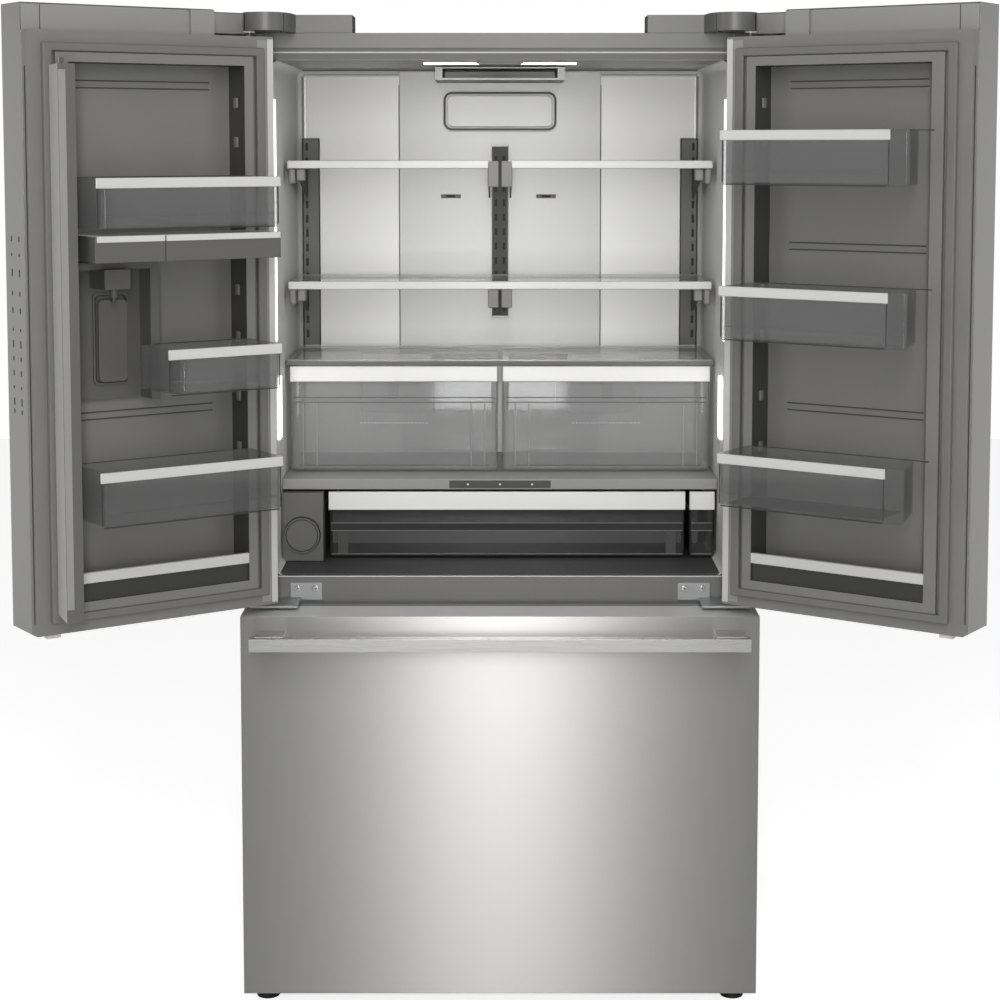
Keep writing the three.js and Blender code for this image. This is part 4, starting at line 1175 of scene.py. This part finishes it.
# ------------------------------------------------------------------ stage
class FRIDGE_OT_stage(bpy.types.Operator):
    """Floor, studio light and camera"""
    bl_idname = "fridge.stage"
    bl_label = "Stage"

    def execute(self, context):
        bpy.ops.object.select_all(action="DESELECT")
        bpy.ops.mesh.primitive_plane_add(size=14, location=(0, 0, 0))
        floor = context.object
        floor.name = "floor"
        material, tree, shader = new_material("Floor")
        shader.inputs["Base Color"].default_value = (0.82, 0.82, 0.82, 1)
        shader.inputs["Roughness"].default_value = 0.6
        shader.inputs["Emission Color"].default_value = (1, 1, 1, 1)
        tree.links.new(self.seen(tree, 0.0, 0.8), shader.inputs["Emission Strength"])
        floor.data.materials.append(material)
        self.lights(context)
        self.camera(context)
        return {"FINISHED"}

    def lights(self, context):
        """White surroundings, a tall soft lamp in front and the lamps inside."""
        world = bpy.data.worlds.new("Studio")
        context.scene.world = world
        world.use_nodes = True
        tree = world.node_tree
        background = tree.nodes["Background"]
        background.inputs["Color"].default_value = (1, 1, 1, 1)
        tree.links.new(self.seen(tree, 0.13, 1.0), background.inputs["Strength"])
        power = sizes().room_power
        self.lamp("soft_front", (0, -4.6, 2.2), (86, 0, 0), 0.55, 3.6, power)
        self.lamp("soft_left", (-3.4, -2.0, 1.6), (90, 0, -58), 1.6, 2.6, power * 0.15)
        self.lamp("soft_right", (3.4, -2.0, 1.6), (90, 0, 58), 1.6, 2.6, power * 0.15)
        self.lamp("rim_left", (-2.6, 0.75, 1.0), (90, 0, -124), 1.6, 2.6, power * 0.09)
        self.lamp("rim_right", (2.6, 0.75, 1.0), (90, 0, 124), 1.6, 2.6, power * 0.09)
        self.lamp("soft_above", (0, -2.4, 3.4), (32, 0, 0), 3.0, 1.0, power * 0.26)
        inside = sizes().lamp_power
        y = FRONT + 0.12
        self.lamp("ceiling_lamp", (0, y, 1.675), (0, 0, 0), 0.30, 0.03, inside * 1.4)
        for side, name in SIDES:
            x = side * 0.398
            self.lamp("wall_lamp_" + name, (x, FRONT + 0.06, 1.40), (0, side * 90, 0), 0.42, 0.02, inside)
            self.lamp("crisper_lamp_" + name, (x, FRONT + 0.10, 1.06), (0, side * 90, 0), 0.10, 0.04,
                      inside * 0.6)

    def seen(self, tree, lighting, shown):
        """A strength that is one value as light on the object and another where the stage itself is seen."""
        path = tree.nodes.new("ShaderNodeLightPath")
        spread = math_node(tree, "MULTIPLY", path.outputs["Is Camera Ray"], shown - lighting)
        return math_node(tree, "ADD", spread, lighting)

    def lamp(self, name, location, degrees, width, height, power):
        data = bpy.data.lights.new(name, "AREA")
        data.shape = "RECTANGLE"
        data.size = width
        data.size_y = height
        data.energy = power
        lamp = bpy.data.objects.new(name, data)
        lamp.location = location
        lamp.rotation_euler = [math.radians(d) for d in degrees]
        bpy.context.scene.collection.objects.link(lamp)

    def camera(self, context):
        """A long lens in front of the cabinet, a little above its middle."""
        data = bpy.data.cameras.new("camera")
        data.lens = 74.67
        data.sensor_width = 36.0
        data.shift_y = -0.18
        camera = bpy.data.objects.new("camera", data)
        camera.location = (0, -3.8027, 1.5407)
        camera.rotation_euler = (math.radians(85.167), 0, 0)
        context.scene.collection.objects.link(camera)
        context.scene.camera = camera


class FRIDGE_OT_materials(bpy.types.Operator):
    """Makes every finish"""
    bl_idname = "fridge.materials"
    bl_label = "Finishes"

    def execute(self, context):
        make_materials()
        context.scene.view_settings.view_transform = "Standard"
        return {"FINISHED"}


OPERATORS = (
    FRIDGE_OT_materials, FRIDGE_OT_stage, FRIDGE_OT_panels, FRIDGE_OT_compartment, FRIDGE_OT_door_liners,
    FRIDGE_OT_door_bins, FRIDGE_OT_dispenser, FRIDGE_OT_shelves, FRIDGE_OT_crispers, FRIDGE_OT_inside,
)


class FRIDGE_PT_panel(bpy.types.Panel):
    """The refrigerator's settings and steps"""
    bl_label = "Refrigerator"
    bl_idname = "FRIDGE_PT_panel"
    bl_space_type = "VIEW_3D"
    bl_region_type = "UI"
    bl_category = "Refrigerator"

    def draw(self, context):
        for group in (context.scene.fridge.sizes, context.scene.fridge.colours):
            for key in group.__annotations__:
                self.layout.prop(group, key)
        for operator in OPERATORS:
            self.layout.operator(operator.bl_idname)


CLASSES = (FridgeSizes, FridgeColours, FridgeSettings, *OPERATORS, FRIDGE_PT_panel)


def register():
    for item in CLASSES:
        bpy.utils.register_class(item)
    bpy.types.Scene.fridge = bpy.props.PointerProperty(type=FridgeSettings)


def unregister():
    del bpy.types.Scene.fridge
    for item in reversed(CLASSES):
        bpy.utils.unregister_class(item)


def main():
    register()
    for operator in OPERATORS:
        group, name = operator.bl_idname.split(".")
        getattr(getattr(bpy.ops, group), name)()


if __name__ == "__main__":
    main()
